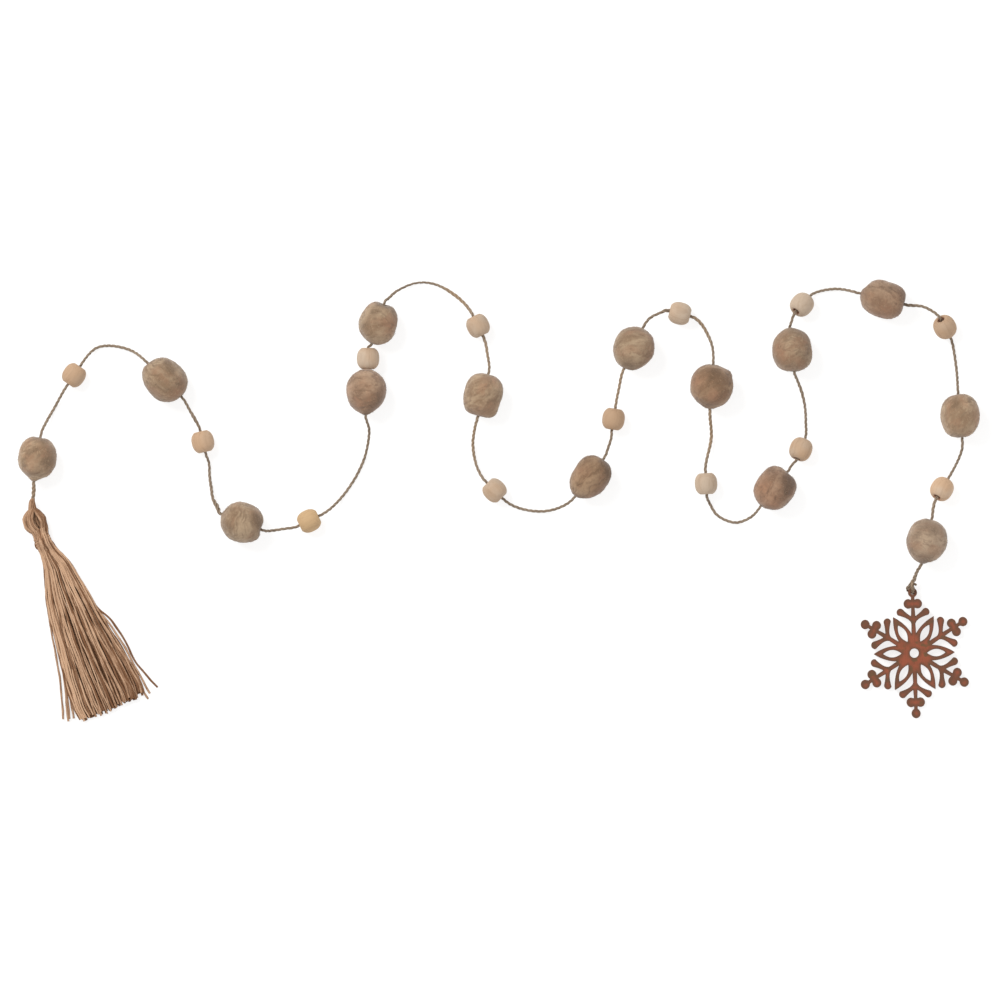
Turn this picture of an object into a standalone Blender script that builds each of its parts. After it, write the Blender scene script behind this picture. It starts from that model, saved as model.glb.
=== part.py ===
"""A garland of felt balls and round wooden beads on jute twine, lying loose on a flat surface.

A cut wooden snowflake hangs on its right end and a jute tassel on its left end.
Metres, +Z up. The surface is z = 0, +X runs from the tassel to the snowflake, and +Y away from the viewer.
The origin is on the surface, under the middle of everything but the twine.
"""

import math
from collections import namedtuple

import bmesh
import bpy
from mathutils import Matrix, Vector, noise

# Driving sizes

PIXEL = 0.00072  # what one pixel of the photograph covers on the surface
MIDDLE_X = 498.9  # pixel over the origin
MIDDLE_Y = 502.0
GAP = 0.0003  # between pieces that touch
WELD = 1e-6  # points nearer than this are one
TUBE_RESOLUTION = 2  # gives a tube eight sides

TWINE_RADIUS = 0.0010
TWINE_STEP = 0.017  # between the twine's points where it runs free
MOUTH_REACH = 0.0008  # the twine leaves a bore straight for this long

FELT_BORE_RADIUS = 0.0014
FELT_SIDES = 16
FELT_RINGS = 8
FELT_FLAT = 0.0006  # how far a ball is pressed in where it rests
LUMP_SIZE = 0.014
LUMP_HEIGHT = 0.0006
LUMP_MARGIN = 0.0028  # the felt keeps its turned shape this near the axis
FELT_ROUGHNESS = 0.95

BEAD_RADIUS = 0.0081
BEAD_LENGTH = 0.0152
BEAD_BORE_RADIUS = 0.0026
BEAD_END_RADIUS = 0.0040
BEAD_FULLNESS = 2.2  # 2 is an ellipsoid, more is squarer
BEAD_SIDES = 12
BEAD_RINGS = 6
BEAD_EDGE_ANGLE = 35  # degrees, past which an edge is drawn sharp
BEAD_ROUGHNESS = 0.55

Felt = namedtuple("Felt", "x y length width heading pitch taper fullness colour")
Bead = namedtuple("Bead", "x y heading pitch height")

OATMEAL = (0.36, 0.26, 0.19)
HAZEL = (0.31, 0.22, 0.155)
ASH = (0.34, 0.27, 0.21)

# Felt balls from the tassel to the snowflake: middle, length and width in pixels, the way the twine runs
# through them in degrees from +X and up from the surface, how much they narrow, and how square they are.
FELT_BALLS = [
    Felt(37.5, 457.3, 42.0, 38.5, 81, 0, 0.00, 2.1, OATMEAL),
    Felt(164.6, 380.0, 47.0, 41.5, -45, 0, 0.00, 2.1, OATMEAL),
    Felt(242.2, 522.3, 43.5, 40.3, -21, 0, 0.00, 2.1, HAZEL),
    Felt(366.4, 391.2, 44.4, 39.5, 88, -13, 0.02, 2.1, HAZEL),
    Felt(378.2, 323.6, 42.0, 37.4, 73, 13, 0.00, 2.25, OATMEAL),
    Felt(483.2, 395.2, 43.5, 38.4, -104, 0, 0.00, 2.25, OATMEAL),
    Felt(589.8, 476.9, 45.8, 37.4, 53, 0, 0.04, 2.2, HAZEL),
    Felt(633.4, 348.4, 44.5, 40.5, 65, 0, 0.00, 2.0, OATMEAL),
    Felt(711.5, 386.0, 43.5, 42.6, -94, 0, 0.00, 2.1, HAZEL),
    Felt(774.7, 488.2, 43.5, 39.5, 52, -8, 0.00, 2.2, HAZEL),
    Felt(791.8, 350.2, 42.0, 39.4, 96, -8, -0.05, 2.3, OATMEAL),
    Felt(883.0, 299.2, 44.6, 37.0, -14, 0, 0.02, 2.5, OATMEAL),
    Felt(960.0, 415.7, 44.0, 38.8, -85, 0, 0.00, 2.2, OATMEAL),
    Felt(926.7, 540.7, 43.5, 40.3, -103, 0, 0.00, 2.1, ASH),
]

# Wooden beads, each after the felt ball of the same row; height is of the middle, in metres.
WOOD_BEADS = [
    Bead(73.9, 375.2, 56, 0, 0.0080),
    Bead(202.8, 441.7, -77, 0, 0.0080),
    Bead(309.0, 520.9, 26, 0, 0.0080),
    Bead(368.1, 358.5, 89, 0, 0.0098),
    Bead(478.0, 325.8, -64, 0, 0.0080),
    Bead(494.6, 490.4, -45, 0, 0.0080),
    Bead(613.5, 419.1, 81, 0, 0.0080),
    Bead(679.9, 313.4, -15, 0, 0.0080),
    Bead(706.1, 483.7, -87, 0, 0.0080),
    Bead(800.9, 449.3, 68, -12, 0.0080),
    Bead(802.0, 304.6, 48, -28, 0.0081),
    Bead(945.0, 327.0, -60, -34, 0.0081),
    Bead(942.0, 489.0, -122, 24, 0.0081),
]

# The twine's own points in the free stretches, in order: pixel x, pixel y, height in millimetres.
# The first stretch leaves the tassel's knot, the last one ends at the snowflake's knot.
STRETCHES = [
    [(32.8, 498.9, 6.2), (33.7, 490.0, 9.6)],
    [(44.6, 425.0, 7.0), (53.0, 409.5, 1.6)],
    [(98.0, 347.0, 1.4), (126.0, 348.5, 2.6)],
    [(190.1, 410.9, 11.0), (194.3, 418.2, 9.4)],
    [
        (208.7, 463.0, 3.0),
        (209.4, 477.0, 1.3),
        (210.9, 487.0, 2.4),
        (213.0, 499.0, 7.0),
        (217.6, 507.2, 11.4),
    ],
    [(269.0, 530.9, 11.0), (284.5, 528.8, 8.4)],
    [(343.0, 495.5, 1.4), (362.5, 463.0, 1.5), (369.2, 432.0, 8.2)],
    [],
    [],
    [
        (388.0, 298.9, 8.8),
        (397.8, 290.3, 4.2),
        (417.4, 282.6, 1.4),
        (436.9, 284.7, 1.2),
        (458.9, 298.2, 2.6),
    ],
    [(487.6, 355.0, 8.6)],
    [(474.7, 428.5, 9.5), (472.9, 446.0, 3.4), (477.0, 467.0, 3.6)],
    [(525.0, 509.7, 1.5), (552.0, 510.0, 3.4)],
    [(607.9, 448.5, 12.0), (611.4, 437.5, 9.8)],
    [(619.0, 388.0, 10.6)],
    [(650.3, 317.8, 10.5), (660.0, 313.0, 8.8)],
    [(709.5, 338.0, 5.6)],
    [(711.4, 438.0, 3.4)],
    [(709.4, 502.5, 2.6), (717.5, 515.3, 1.6), (734.8, 522.6, 2.0), (750.5, 517.4, 8.2)],
    [(791.6, 465.2, 11.4)],
    [(806.0, 422.0, 4.2), (805.2, 407.0, 3.6), (802.0, 392.5, 6.0), (797.6, 381.0, 10.6)],
    [(791.2, 322.5, 13.3), (793.2, 315.8, 12.4)],
    [(834.0, 288.8, 2.6)],
    [(924.0, 307.0, 12.6)],
    [(956.4, 366.0, 4.0)],
    [(961.0, 453.0, 10.0)],
    [(933.0, 508.5, 12.8)],
    [(917.2, 571.0, 10.2), (913.7, 580.7, 5.9)],
]

# The snowflake, in metres, in the frame of one arm: across, along. Arcs run between angles in degrees.
SNOWFLAKE_X = 914.6
SNOWFLAKE_Y = 653.2
SNOWFLAKE_TURN = 1.5  # degrees, to the left
SNOWFLAKE_ACROSS = 0.963  # it is cut a little narrower than it is tall
SNOWFLAKE_THICKNESS = 0.0030
SNOWFLAKE_LIFT = 0.0028  # of the lobe that the loop passes under
ARMS = 6
# Each arm's own reach and its turn in degrees, from the tied arm clockwise
ARM_REACHES = [1.012, 0.994, 0.992, 1.007, 0.997, 0.976]
ARM_TURNS = [0.3, 0.6, -0.6, 0.3, 0.2, -0.8]
HUB_HOLE_RADIUS = 0.0034
TIP_ALONG = 0.0432
TIP_RADIUS = 0.0034
TIP_ARC = (90, -42)
HANGING_HOLE_RADIUS = 0.0013
HOLE_SIDES = 14
NECK_HALF = 0.0013
CORNER_EASE = 0.0003  # between an arc and the straight edge that it runs into
BAR_ALONG = 0.0352
BAR_ACROSS = 0.0035
BAR_RADIUS = 0.0034
BAR_ARC = (118, -118)
BAR_HALF = 0.0030
STEM_HALF = 0.0013
CROTCH_ALONG = 0.0264
CLUB_ACROSS = 0.0095
CLUB_ALONG = 0.0292
CLUB_RADIUS = 0.0028
CLUB_ARC = (125, -45)
CLUB_BACK = (0.0040, 0.0276)
ARMPIT_ACROSS = 0.0023
ARMPIT_ALONG = 0.0248
ARMPIT_END = 0.0210
ARM_HALF = 0.0015
NOTCH_ACROSS = 0.0017
NOTCH_ALONG = 0.0142
LEAF_TIP = 0.0304
LEAF_BELLY = (0.0055, 0.0220)
OPENING_NEAR = 0.0096
OPENING_FAR = 0.0233
OPENING_HALF = 0.0027
OPENING_FULLNESS = 0.83
OPENING_STEPS = 8
TIP_STEPS = 6
BAR_STEPS = 8
CLUB_STEPS = 7
BACK_STEPS = 3
ARMPIT_STEPS = 4
BELLY_STEPS = 5
SNOWFLAKE_ROUGHNESS = 0.7

# The tie at the snowflake
KNOT_X = 912.4
KNOT_Y = 584.6
KNOT_HEIGHT = 0.0045
KNOT_RADIUS = 0.0021
KNOT_SIDES = 12
KNOT_RINGS = 8

# The loop, in millimetres from the middle of the hanging hole and from the snowflake's underside: from the
# knot over the lobe's rim, down through the hole and back under the lobe to the knot
Loop = namedtuple("Loop", "across along height")
LOOP_POINTS = [
    Loop(0.7, 3.2, 4.5),
    Loop(0.5, 2.1, 4.5),
    Loop(0.0, 0.2, 3.7),
    Loop(0.0, 0.0, 1.5),
    Loop(-0.2, 0.1, -1.1),
    Loop(-1.7, 0.9, -1.5),
    Loop(-3.4, 1.9, -1.25),
    Loop(-3.6, 3.1, -0.4),
    Loop(-2.5, 4.6, 0.6),
]
LOOP_STEP = 0.0016

# The tassel's folded bundle, from the top of its head to its cut end:
# pixel x and y of the middle, half width in pixels, half thickness and middle height in millimetres,
# and how deep its strands' grooves are.
Section = namedtuple("Section", "x y half_width half_height height groove")
TASSEL_SECTIONS = [
    Section(33.2, 508.9, 3.6, 2.6, 6.4, 0.00),
    Section(33.3, 512.0, 7.8, 5.0, 6.3, 0.04),
    Section(33.6, 517.5, 11.7, 6.2, 6.2, 0.05),
    Section(35.2, 523.6, 12.1, 6.3, 6.2, 0.05),
    Section(39.1, 529.2, 9.5, 5.8, 5.9, 0.05),
    Section(40.6, 535.2, 7.7, 5.2, 5.7, 0.05),
    Section(41.3, 537.1, 5.0, 3.4, 5.6, 0.00),
    Section(45.4, 547.5, 5.0, 3.4, 5.5, 0.00),
    Section(47.6, 550.2, 8.5, 5.0, 5.2, 0.05),
    Section(50.6, 556.0, 10.2, 4.9, 4.9, 0.08),
    Section(57.0, 566.8, 13.8, 4.7, 4.5, 0.12),
    Section(66.2, 594.7, 20.6, 4.3, 4.1, 0.15),
    Section(80.4, 632.3, 27.0, 3.9, 3.7, 0.18),
    Section(95.8, 669.0, 33.0, 3.5, 3.3, 0.20),
    Section(107.5, 696.8, 36.0, 3.2, 3.0, 0.22),
    Section(111.6, 707.3, 34.8, 3.0, 2.8, 0.24),
]
LOCKS = 11  # grooved locks across the bundle
# How far each lock's cut end stands out past the last section, in millimetres
LOCK_ENDS = [1.8, 3.0, 2.2, 3.4, 2.6, 1.8, 0.6, -0.6, 0.4, -0.8, -2.2]
NOTCH_DEPTH = 0.0045

# Strands that stray from the bundle: radius in millimetres, then pixel x, pixel y and height in millimetres
STRAYS = [
    (
        1.1,
        [
            (58.0, 580.0, 4.0),
            (47.2, 604.0, 3.0),
            (52.5, 640.0, 2.0),
            (59.6, 681.0, 1.3),
            (62.8, 718.4, 1.3),
        ],
    ),
    (2.2, [(60.0, 630.0, 3.0), (63.8, 678.0, 2.3), (71.2, 719.6, 2.2)]),
    (
        1.2,
        [
            (88.0, 605.0, 3.6),
            (107.5, 618.0, 2.6),
            (127.0, 645.5, 1.8),
            (138.5, 667.0, 1.4),
            (157.2, 687.2, 1.4),
        ],
    ),
    (1.2, [(112.0, 652.0, 3.0), (134.6, 672.5, 2.0), (149.6, 693.6, 1.4)]),
]
STRAY_STEP = 0.009

WRAP_X = 43.3
WRAP_Y = 542.25
WRAP_HEADING = -68.7
WRAP_HEIGHT = 0.0058
WRAP_INNER = 0.0040
WRAP_OUTER = 0.0063
WRAP_LENGTH = 0.0080
WRAP_TURNS = 4
WRAP_RIDGE = 0.0004
WRAP_END_RIDGE = 0.0008
WRAP_CROWN = (0.25, 0.75)  # the part of each turn that stands at its full radius
WRAP_SIDES = 20

HANGER_X = 32.2
HANGER_Y = 503.8
HANGER_HEADING = 92
HANGER_HEIGHT = 0.0062
HANGER_LENGTH = 0.0052
HANGER_TOP_RADIUS = 0.0020
HANGER_FOOT_RADIUS = 0.0028
HANGER_SIDES = 12
YARN_ROUGHNESS = 0.9

JUTE = (0.42, 0.24, 0.12)
TWINE_COLOUR = (0.30, 0.22, 0.15)
BIRCH = (0.60, 0.43, 0.29)
TERRACOTTA = (0.36, 0.09, 0.035)

# Scene and shared helpers


def clear_scene():
    for old in list(bpy.data.objects):
        bpy.data.objects.remove(old, do_unlink=True)


def new_collection(name, hidden=False):
    made = bpy.data.collections.new(name)
    made.hide_render = hidden
    bpy.context.scene.collection.children.link(made)
    return made


def finish(obj, colour, roughness):
    """Gives the object its own material."""
    material = bpy.data.materials.new(obj.name + "_finish")
    material.use_nodes = True
    shader = material.node_tree.nodes["Principled BSDF"]
    shader.inputs["Base Color"].default_value = (*colour, 1.0)
    shader.inputs["Roughness"].default_value = roughness
    shader.inputs["Metallic"].default_value = 0.0
    obj.data.materials.clear()
    obj.data.materials.append(material)
    return obj


def on_surface(x, y, height=0.0):
    """The place over pixel x, y of the photograph, at a height over the surface."""
    return Vector(((x - MIDDLE_X) * PIXEL, (MIDDLE_Y - y) * PIXEL, height))


def direction(heading, pitch=0.0):
    heading = math.radians(heading)
    pitch = math.radians(pitch)
    level = math.cos(pitch)
    return Vector((level * math.cos(heading), level * math.sin(heading), math.sin(pitch)))


def mesh_object(name, mesh, collection):
    obj = bpy.data.objects.new(name, mesh)
    collection.objects.link(obj)
    return obj


def as_mesh(obj, name, collection):
    """A mesh object with the evaluated shape of obj, its loose caps welded; obj is removed."""
    bpy.context.view_layer.update()
    graph = bpy.context.evaluated_depsgraph_get()
    mesh = bpy.data.meshes.new_from_object(obj.evaluated_get(graph))
    work = bmesh.new()
    work.from_mesh(mesh)
    bmesh.ops.remove_doubles(work, verts=work.verts, dist=WELD)
    work.to_mesh(mesh)
    work.free()
    made = mesh_object(name, mesh, collection)
    made.matrix_world = obj.matrix_world
    bpy.data.objects.remove(obj, do_unlink=True)
    return made


def turned(name, profile, sides, collection):
    """A closed profile of (radius, height) turned about local Z; its outer side runs top to bottom."""
    mesh = bpy.data.meshes.new(name)
    work = bmesh.new()
    ring = [work.verts.new((radius, 0.0, height)) for radius, height in profile]
    for start, end in zip(ring, ring[1:] + ring[:1]):
        work.edges.new((start, end))
    work.to_mesh(mesh)
    work.free()
    outline = mesh_object(name + "_profile", mesh, collection)
    screw = outline.modifiers.new("turn", "SCREW")
    screw.angle = math.tau
    screw.steps = sides
    screw.render_steps = sides
    screw.use_merge_vertices = True
    screw.merge_threshold = WELD
    return as_mesh(outline, name, collection)


def lay_along(obj, middle, axis):
    """Places a turned piece with its local Z axis along axis."""
    obj.location = middle
    obj.rotation_mode = "QUATERNION"
    obj.rotation_quaternion = axis.to_track_quat("Z", "Y")
    bpy.context.view_layer.update()


def flatten_underside(obj):
    """Leaves a flat face where the piece would reach below the surface."""
    to_local = obj.matrix_world.inverted()
    work = bmesh.new()
    work.from_mesh(obj.data)
    cut = bmesh.ops.bisect_plane(
        work,
        geom=work.verts[:] + work.edges[:] + work.faces[:],
        dist=WELD,
        plane_co=to_local.translation,
        plane_no=to_local.to_3x3() @ Vector((0.0, 0.0, 1.0)),
        clear_inner=True,
    )
    rim = [edge for edge in cut["geom_cut"] if isinstance(edge, bmesh.types.BMEdge)]
    bmesh.ops.edgeloop_fill(work, edges=rim)
    bmesh.ops.recalc_face_normals(work, faces=work.faces)
    work.to_mesh(obj.data)
    work.free()


def tube(name, points, radius, collection):
    """A round tube with filled caps through the points."""
    curve = bpy.data.curves.new(name, "CURVE")
    curve.dimensions = "3D"
    curve.bevel_depth = radius
    curve.bevel_resolution = TUBE_RESOLUTION
    curve.use_fill_caps = True
    spline = curve.splines.new("POLY")
    spline.points.add(len(points) - 1)
    for place, point in zip(spline.points, points):
        place.co = (*point, 1.0)
    obj = bpy.data.objects.new(name, curve)
    collection.objects.link(obj)
    return obj


def smooth(points, step, start=None, end=None):
    """Points read every step or so from a smooth curve through the given ones.

    start and end are the directions in which the curve sets off and arrives.
    """
    points = [Vector(point) for point in points]
    lengths = [(b - a).length for a, b in zip(points, points[1:])]
    slopes = []
    for index, point in enumerate(points):
        if index == 0:
            slopes.append(start or (points[1] - point).normalized())
        elif index == len(points) - 1:
            slopes.append(end or (point - points[-2]).normalized())
        else:
            reach = lengths[index - 1] + lengths[index]
            slopes.append((points[index + 1] - points[index - 1]) / reach)
    route = [points[0]]
    for index, length in enumerate(lengths):
        count = max(1, round(length / step))
        for number in range(1, count + 1):
            t = number / count
            route.append(
                points[index] * (2 * t**3 - 3 * t**2 + 1)
                + slopes[index] * (length * (t**3 - 2 * t**2 + t))
                + points[index + 1] * (3 * t**2 - 2 * t**3)
                + slopes[index + 1] * (length * (t**3 - t**2))
            )
    return route


# Threaded pieces


def round_profile(half_length, radius, bore, fullness, taper, rings, end_radius):
    """Outer side of a drilled ball or bead, top to bottom, then up its bore."""
    power = 2.0 / fullness
    first = math.asin((end_radius / radius) ** (1.0 / power))
    outer = []
    for ring in range(rings + 1):
        turn = first + (math.pi - 2 * first) * ring / rings
        height = half_length * math.copysign(abs(math.cos(turn)) ** power, math.cos(turn))
        outer.append([radius * math.sin(turn) ** power, height])
    for point in outer[1:-1]:
        point[0] *= 1.0 + taper * point[1] / half_length
    top = outer[0][1]
    bottom = outer[-1][1]
    if end_radius > bore:
        return outer + [[bore, bottom], [bore, top]]
    return outer


def underside_reach(profile, pitch):
    """How far below its middle a turned shape reaches when its axis is pitched."""
    tilt = math.radians(pitch)
    return max(radius * math.cos(tilt) + abs(height * math.sin(tilt)) for radius, height in profile)


def felt_profile(ball):
    return round_profile(
        ball.length * PIXEL / 2,
        ball.width * PIXEL / 2,
        FELT_BORE_RADIUS,
        ball.fullness,
        ball.taper,
        FELT_RINGS,
        FELT_BORE_RADIUS,
    )


def felt_middle(ball):
    return on_surface(ball.x, ball.y, underside_reach(felt_profile(ball), ball.pitch) - FELT_FLAT)


def felt_ball(name, ball, seed, collection):
    """A wool felt ball, a little lumpy, pressed flat where it rests."""
    obj = turned(name, felt_profile(ball), FELT_SIDES, collection)
    for vertex in obj.data.vertices:
        outward = Vector((vertex.co.x, vertex.co.y, 0.0))
        if outward.length > LUMP_MARGIN:
            lump = noise.noise(vertex.co / LUMP_SIZE + Vector((seed, 0.0, 0.0)))
            vertex.co += vertex.co.normalized() * (LUMP_HEIGHT * lump)
    lay_along(obj, felt_middle(ball), direction(ball.heading, ball.pitch))
    flatten_underside(obj)
    obj.data.shade_smooth()
    return finish(obj, ball.colour, FELT_ROUGHNESS)


def bead_profile():
    radius = BEAD_RADIUS
    power = 2.0 / BEAD_FULLNESS
    cut = math.cos(math.asin((BEAD_END_RADIUS / radius) ** (1.0 / power))) ** power
    return round_profile(
        BEAD_LENGTH / 2 / cut, radius, BEAD_BORE_RADIUS, BEAD_FULLNESS, 0.0, BEAD_RINGS, BEAD_END_RADIUS
    )


def wood_bead(name, bead, collection):
    """A drilled round wooden bead with flat ends."""
    obj = turned(name, bead_profile(), BEAD_SIDES, collection)
    lay_along(obj, on_surface(bead.x, bead.y, bead.height), direction(bead.heading, bead.pitch))
    flatten_underside(obj)
    obj.data.shade_smooth()
    obj.data.set_sharp_from_angle(angle=math.radians(BEAD_EDGE_ANGLE))
    return finish(obj, BIRCH, BEAD_ROUGHNESS)


# The twine


def bores():
    """Each threaded piece's two bore mouths and axis, in the order in which they are strung."""
    found = []
    for number, ball in enumerate(FELT_BALLS):
        axis = direction(ball.heading, ball.pitch)
        reach = axis * (ball.length * PIXEL / 2 + MOUTH_REACH)
        middle = felt_middle(ball)
        found.append((middle - reach, middle + reach, axis))
        if number < len(WOOD_BEADS):
            bead = WOOD_BEADS[number]
            axis = direction(bead.heading, bead.pitch)
            reach = axis * (BEAD_LENGTH / 2 + MOUTH_REACH)
            middle = on_surface(bead.x, bead.y, bead.height)
            found.append((middle - reach, middle + reach, axis))
    return found


def twine_route(step):
    """The twine's middle line from the tassel's knot to the snowflake's knot, straight in every bore."""
    route = []
    leaving = None
    pieces = bores()
    for number, stretch in enumerate(STRETCHES):
        points = [on_surface(x, y, height / 1000) for x, y, height in stretch]
        start = end = None
        if leaving:
            points.insert(0, leaving[1])
            start = leaving[2]
        if number < len(pieces):
            points.append(pieces[number][0])
            end = pieces[number][2]
            leaving = pieces[number]
        route += smooth(points, step, start, end)
    for point in route:
        point.z = max(point.z, TWINE_RADIUS)
    return route


def twine(collection):
    obj = tube("twine", twine_route(TWINE_STEP), TWINE_RADIUS, collection)
    return finish(obj, TWINE_COLOUR, YARN_ROUGHNESS)


# The snowflake


def arc(across, along, radius, start, end, count):
    """Points on an arc about (across, along), from one angle to another in degrees."""
    points = []
    for index in range(count + 1):
        angle = math.radians(start + (end - start) * index / count)
        points.append((across + radius * math.cos(angle), along + radius * math.sin(angle)))
    return points


def bow(start, pull, end, count):
    """Points on a simple bow from start to end, pulled towards a third point; its ends are left out."""
    points = []
    for index in range(1, count):
        t = index / count
        points.append(
            tuple(
                start[axis] * (1 - t) ** 2 + pull[axis] * 2 * t * (1 - t) + end[axis] * t**2
                for axis in (0, 1)
            )
        )
    return points


def turned_by(points, degrees):
    turn = Matrix.Rotation(math.radians(degrees), 2)
    return [tuple(turn @ Vector(point)) for point in points]


def half_arm():
    """Right half of an arm's outline from tip to armpit, the leaf's side from the notch, and its tip."""
    club_top = arc(CLUB_ACROSS, CLUB_ALONG, CLUB_RADIUS, *CLUB_ARC, CLUB_STEPS)
    crotch = (STEM_HALF + CORNER_EASE, CROTCH_ALONG)
    armpit = (ARM_HALF, ARMPIT_END)
    notch = (NOTCH_ACROSS, NOTCH_ALONG)
    leaf_tip = turned_by([(0.0, LEAF_TIP)], -180 / ARMS)[0]
    belly = turned_by([(-LEAF_BELLY[0], LEAF_BELLY[1])], -180 / ARMS)[0]
    outline = arc(0.0, TIP_ALONG, TIP_RADIUS, *TIP_ARC, TIP_STEPS)
    outline.append((NECK_HALF, TIP_ALONG - TIP_RADIUS))
    outline.append((NECK_HALF, BAR_ALONG + BAR_HALF))
    outline += arc(BAR_ACROSS, BAR_ALONG, BAR_RADIUS, *BAR_ARC, BAR_STEPS)
    outline.append((STEM_HALF, BAR_ALONG - BAR_HALF))
    outline.append(crotch)
    outline += bow(crotch, CLUB_BACK, club_top[0], BACK_STEPS)
    outline += club_top
    outline += bow(club_top[-1], (ARMPIT_ACROSS, ARMPIT_ALONG), armpit, ARMPIT_STEPS)
    outline.append(armpit)
    leaf_side = [notch] + bow(notch, belly, leaf_tip, BELLY_STEPS)
    return outline, leaf_side, leaf_tip


def own_arm(points, arm):
    """An arm's points at its own reach and turn."""
    return turned_by([(across, along * ARM_REACHES[arm]) for across, along in points], ARM_TURNS[arm])


def hanging_hole():
    """Middle of the hole in the tied arm's lobe."""
    return own_arm([(0.0, TIP_ALONG)], 0)[0]


def mirrored(points):
    return [(-across, along) for across, along in reversed(points)]


def snowflake_outline():
    """The outer outline, once round: each arm's right half, a leaf's tip, and the next arm's left half."""
    half, leaf_side, leaf_tip = half_arm()
    outline = []
    for arm in range(ARMS):
        turn = -360 / ARMS * arm
        outline += turned_by(own_arm(half, arm) + leaf_side + [leaf_tip], turn)
        other_arm = own_arm(mirrored(half[1:]), (arm + 1) % ARMS)
        outline += turned_by(mirrored(leaf_side) + other_arm, turn - 360 / ARMS)
    return outline


def leaf_opening(arm):
    """The opening in a leaf, pointed at both ends and full between them."""
    half_length = (OPENING_FAR - OPENING_NEAR) / 2
    middle = (OPENING_FAR + OPENING_NEAR) / 2
    right = []
    for index in range(OPENING_STEPS + 1):
        share = 2 * index / OPENING_STEPS - 1
        across = OPENING_HALF * max(0.0, math.cos(math.pi / 2 * share)) ** OPENING_FULLNESS
        right.append((across, middle + half_length * share))
    left = [(-across, along) for across, along in reversed(right[1:-1])]
    return turned_by(right + left, 180 / ARMS - 360 / ARMS * arm)


def snowflake_matrix():
    """Where the flake lies: turned a little, and raised at its tied arm by the loop under it."""
    reach = TIP_ALONG * max(ARM_REACHES) + TIP_RADIUS
    tilt = math.asin(SNOWFLAKE_LIFT / (TIP_ALONG + reach))
    place = on_surface(SNOWFLAKE_X, SNOWFLAKE_Y, reach * math.sin(tilt))
    turn = Matrix.Rotation(math.radians(SNOWFLAKE_TURN), 4, "Z")
    return Matrix.Translation(place) @ turn @ Matrix.Rotation(tilt, 4, "X")


def snowflake(collection):
    """The flake is one flat outline with its openings, cut from a board."""
    curve = bpy.data.curves.new("snowflake", "CURVE")
    curve.dimensions = "2D"
    curve.fill_mode = "BOTH"
    curve.extrude = SNOWFLAKE_THICKNESS / 2
    outlines = [snowflake_outline()]
    last = 360 - 360 / HOLE_SIDES
    outlines.append(arc(0.0, 0.0, HUB_HOLE_RADIUS, 0, last, HOLE_SIDES - 1))
    outlines.append(arc(*hanging_hole(), HANGING_HOLE_RADIUS, 0, last, HOLE_SIDES - 1))
    outlines += [leaf_opening(arm) for arm in range(ARMS)]
    for points in outlines:
        spline = curve.splines.new("POLY")
        spline.points.add(len(points) - 1)
        spline.use_cyclic_u = True
        for place, (across, along) in zip(spline.points, points):
            place.co = (across * SNOWFLAKE_ACROSS, along, 0.0, 1.0)
    obj = bpy.data.objects.new("snowflake", curve)
    collection.objects.link(obj)
    obj.matrix_world = snowflake_matrix() @ Matrix.Translation((0.0, 0.0, SNOWFLAKE_THICKNESS / 2))
    return finish(obj, TERRACOTTA, SNOWFLAKE_ROUGHNESS)


def snowflake_loop(collection):
    """The twine's short loop through the lobe's hole, from the knot and back to it."""
    across, along = hanging_hole()
    place = snowflake_matrix() @ Matrix.Translation((across * SNOWFLAKE_ACROSS, along, 0.0))
    points = [place @ (Vector(point) / 1000) for point in LOOP_POINTS]
    knot = on_surface(KNOT_X, KNOT_Y, KNOT_HEIGHT)
    ends = [knot + (side - knot).normalized() * (KNOT_RADIUS + GAP) for side in (points[0], points[-1])]
    route = smooth([ends[0]] + points + [ends[1]], LOOP_STEP)
    for point in route:
        point.z = max(point.z, TWINE_RADIUS)
    obj = tube("snowflake_loop", route, TWINE_RADIUS, collection)
    return finish(obj, TWINE_COLOUR, YARN_ROUGHNESS)


def snowflake_knot(collection):
    """The small overhand knot that closes the loop."""
    mesh = bpy.data.meshes.new("snowflake_knot")
    work = bmesh.new()
    bmesh.ops.create_uvsphere(work, u_segments=KNOT_SIDES, v_segments=KNOT_RINGS, radius=KNOT_RADIUS)
    work.to_mesh(mesh)
    work.free()
    obj = mesh_object("snowflake_knot", mesh, collection)
    obj.location = on_surface(KNOT_X, KNOT_Y, KNOT_HEIGHT)
    obj.data.shade_smooth()
    return finish(obj, TWINE_COLOUR, YARN_ROUGHNESS)


# The tassel


def section_ring(section, along, columns):
    """One cross section, over the top from left to right and back underneath.

    along is the bundle's direction there; odd columns are the grooves between locks.
    """
    middle = on_surface(section.x, section.y, section.height / 1000)
    across = Vector((along.y, -along.x, 0.0))
    half_width = section.half_width * PIXEL
    half_height = section.half_height / 1000
    over = []
    under = []
    for column in range(columns + 1):
        share = -math.cos(math.pi * column / columns)
        round_off = math.sqrt(max(0.0, 1.0 - share * share))
        depth = 1.0 - (section.groove if column % 2 else 0.0)
        place = middle - across * (half_width * share)
        over.append(place + Vector((0.0, 0.0, half_height * round_off * depth)))
        under.append(place - Vector((0.0, 0.0, half_height * round_off)))
    for point in under + over:
        point.z = max(point.z, 0.0)
    return over, under


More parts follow.
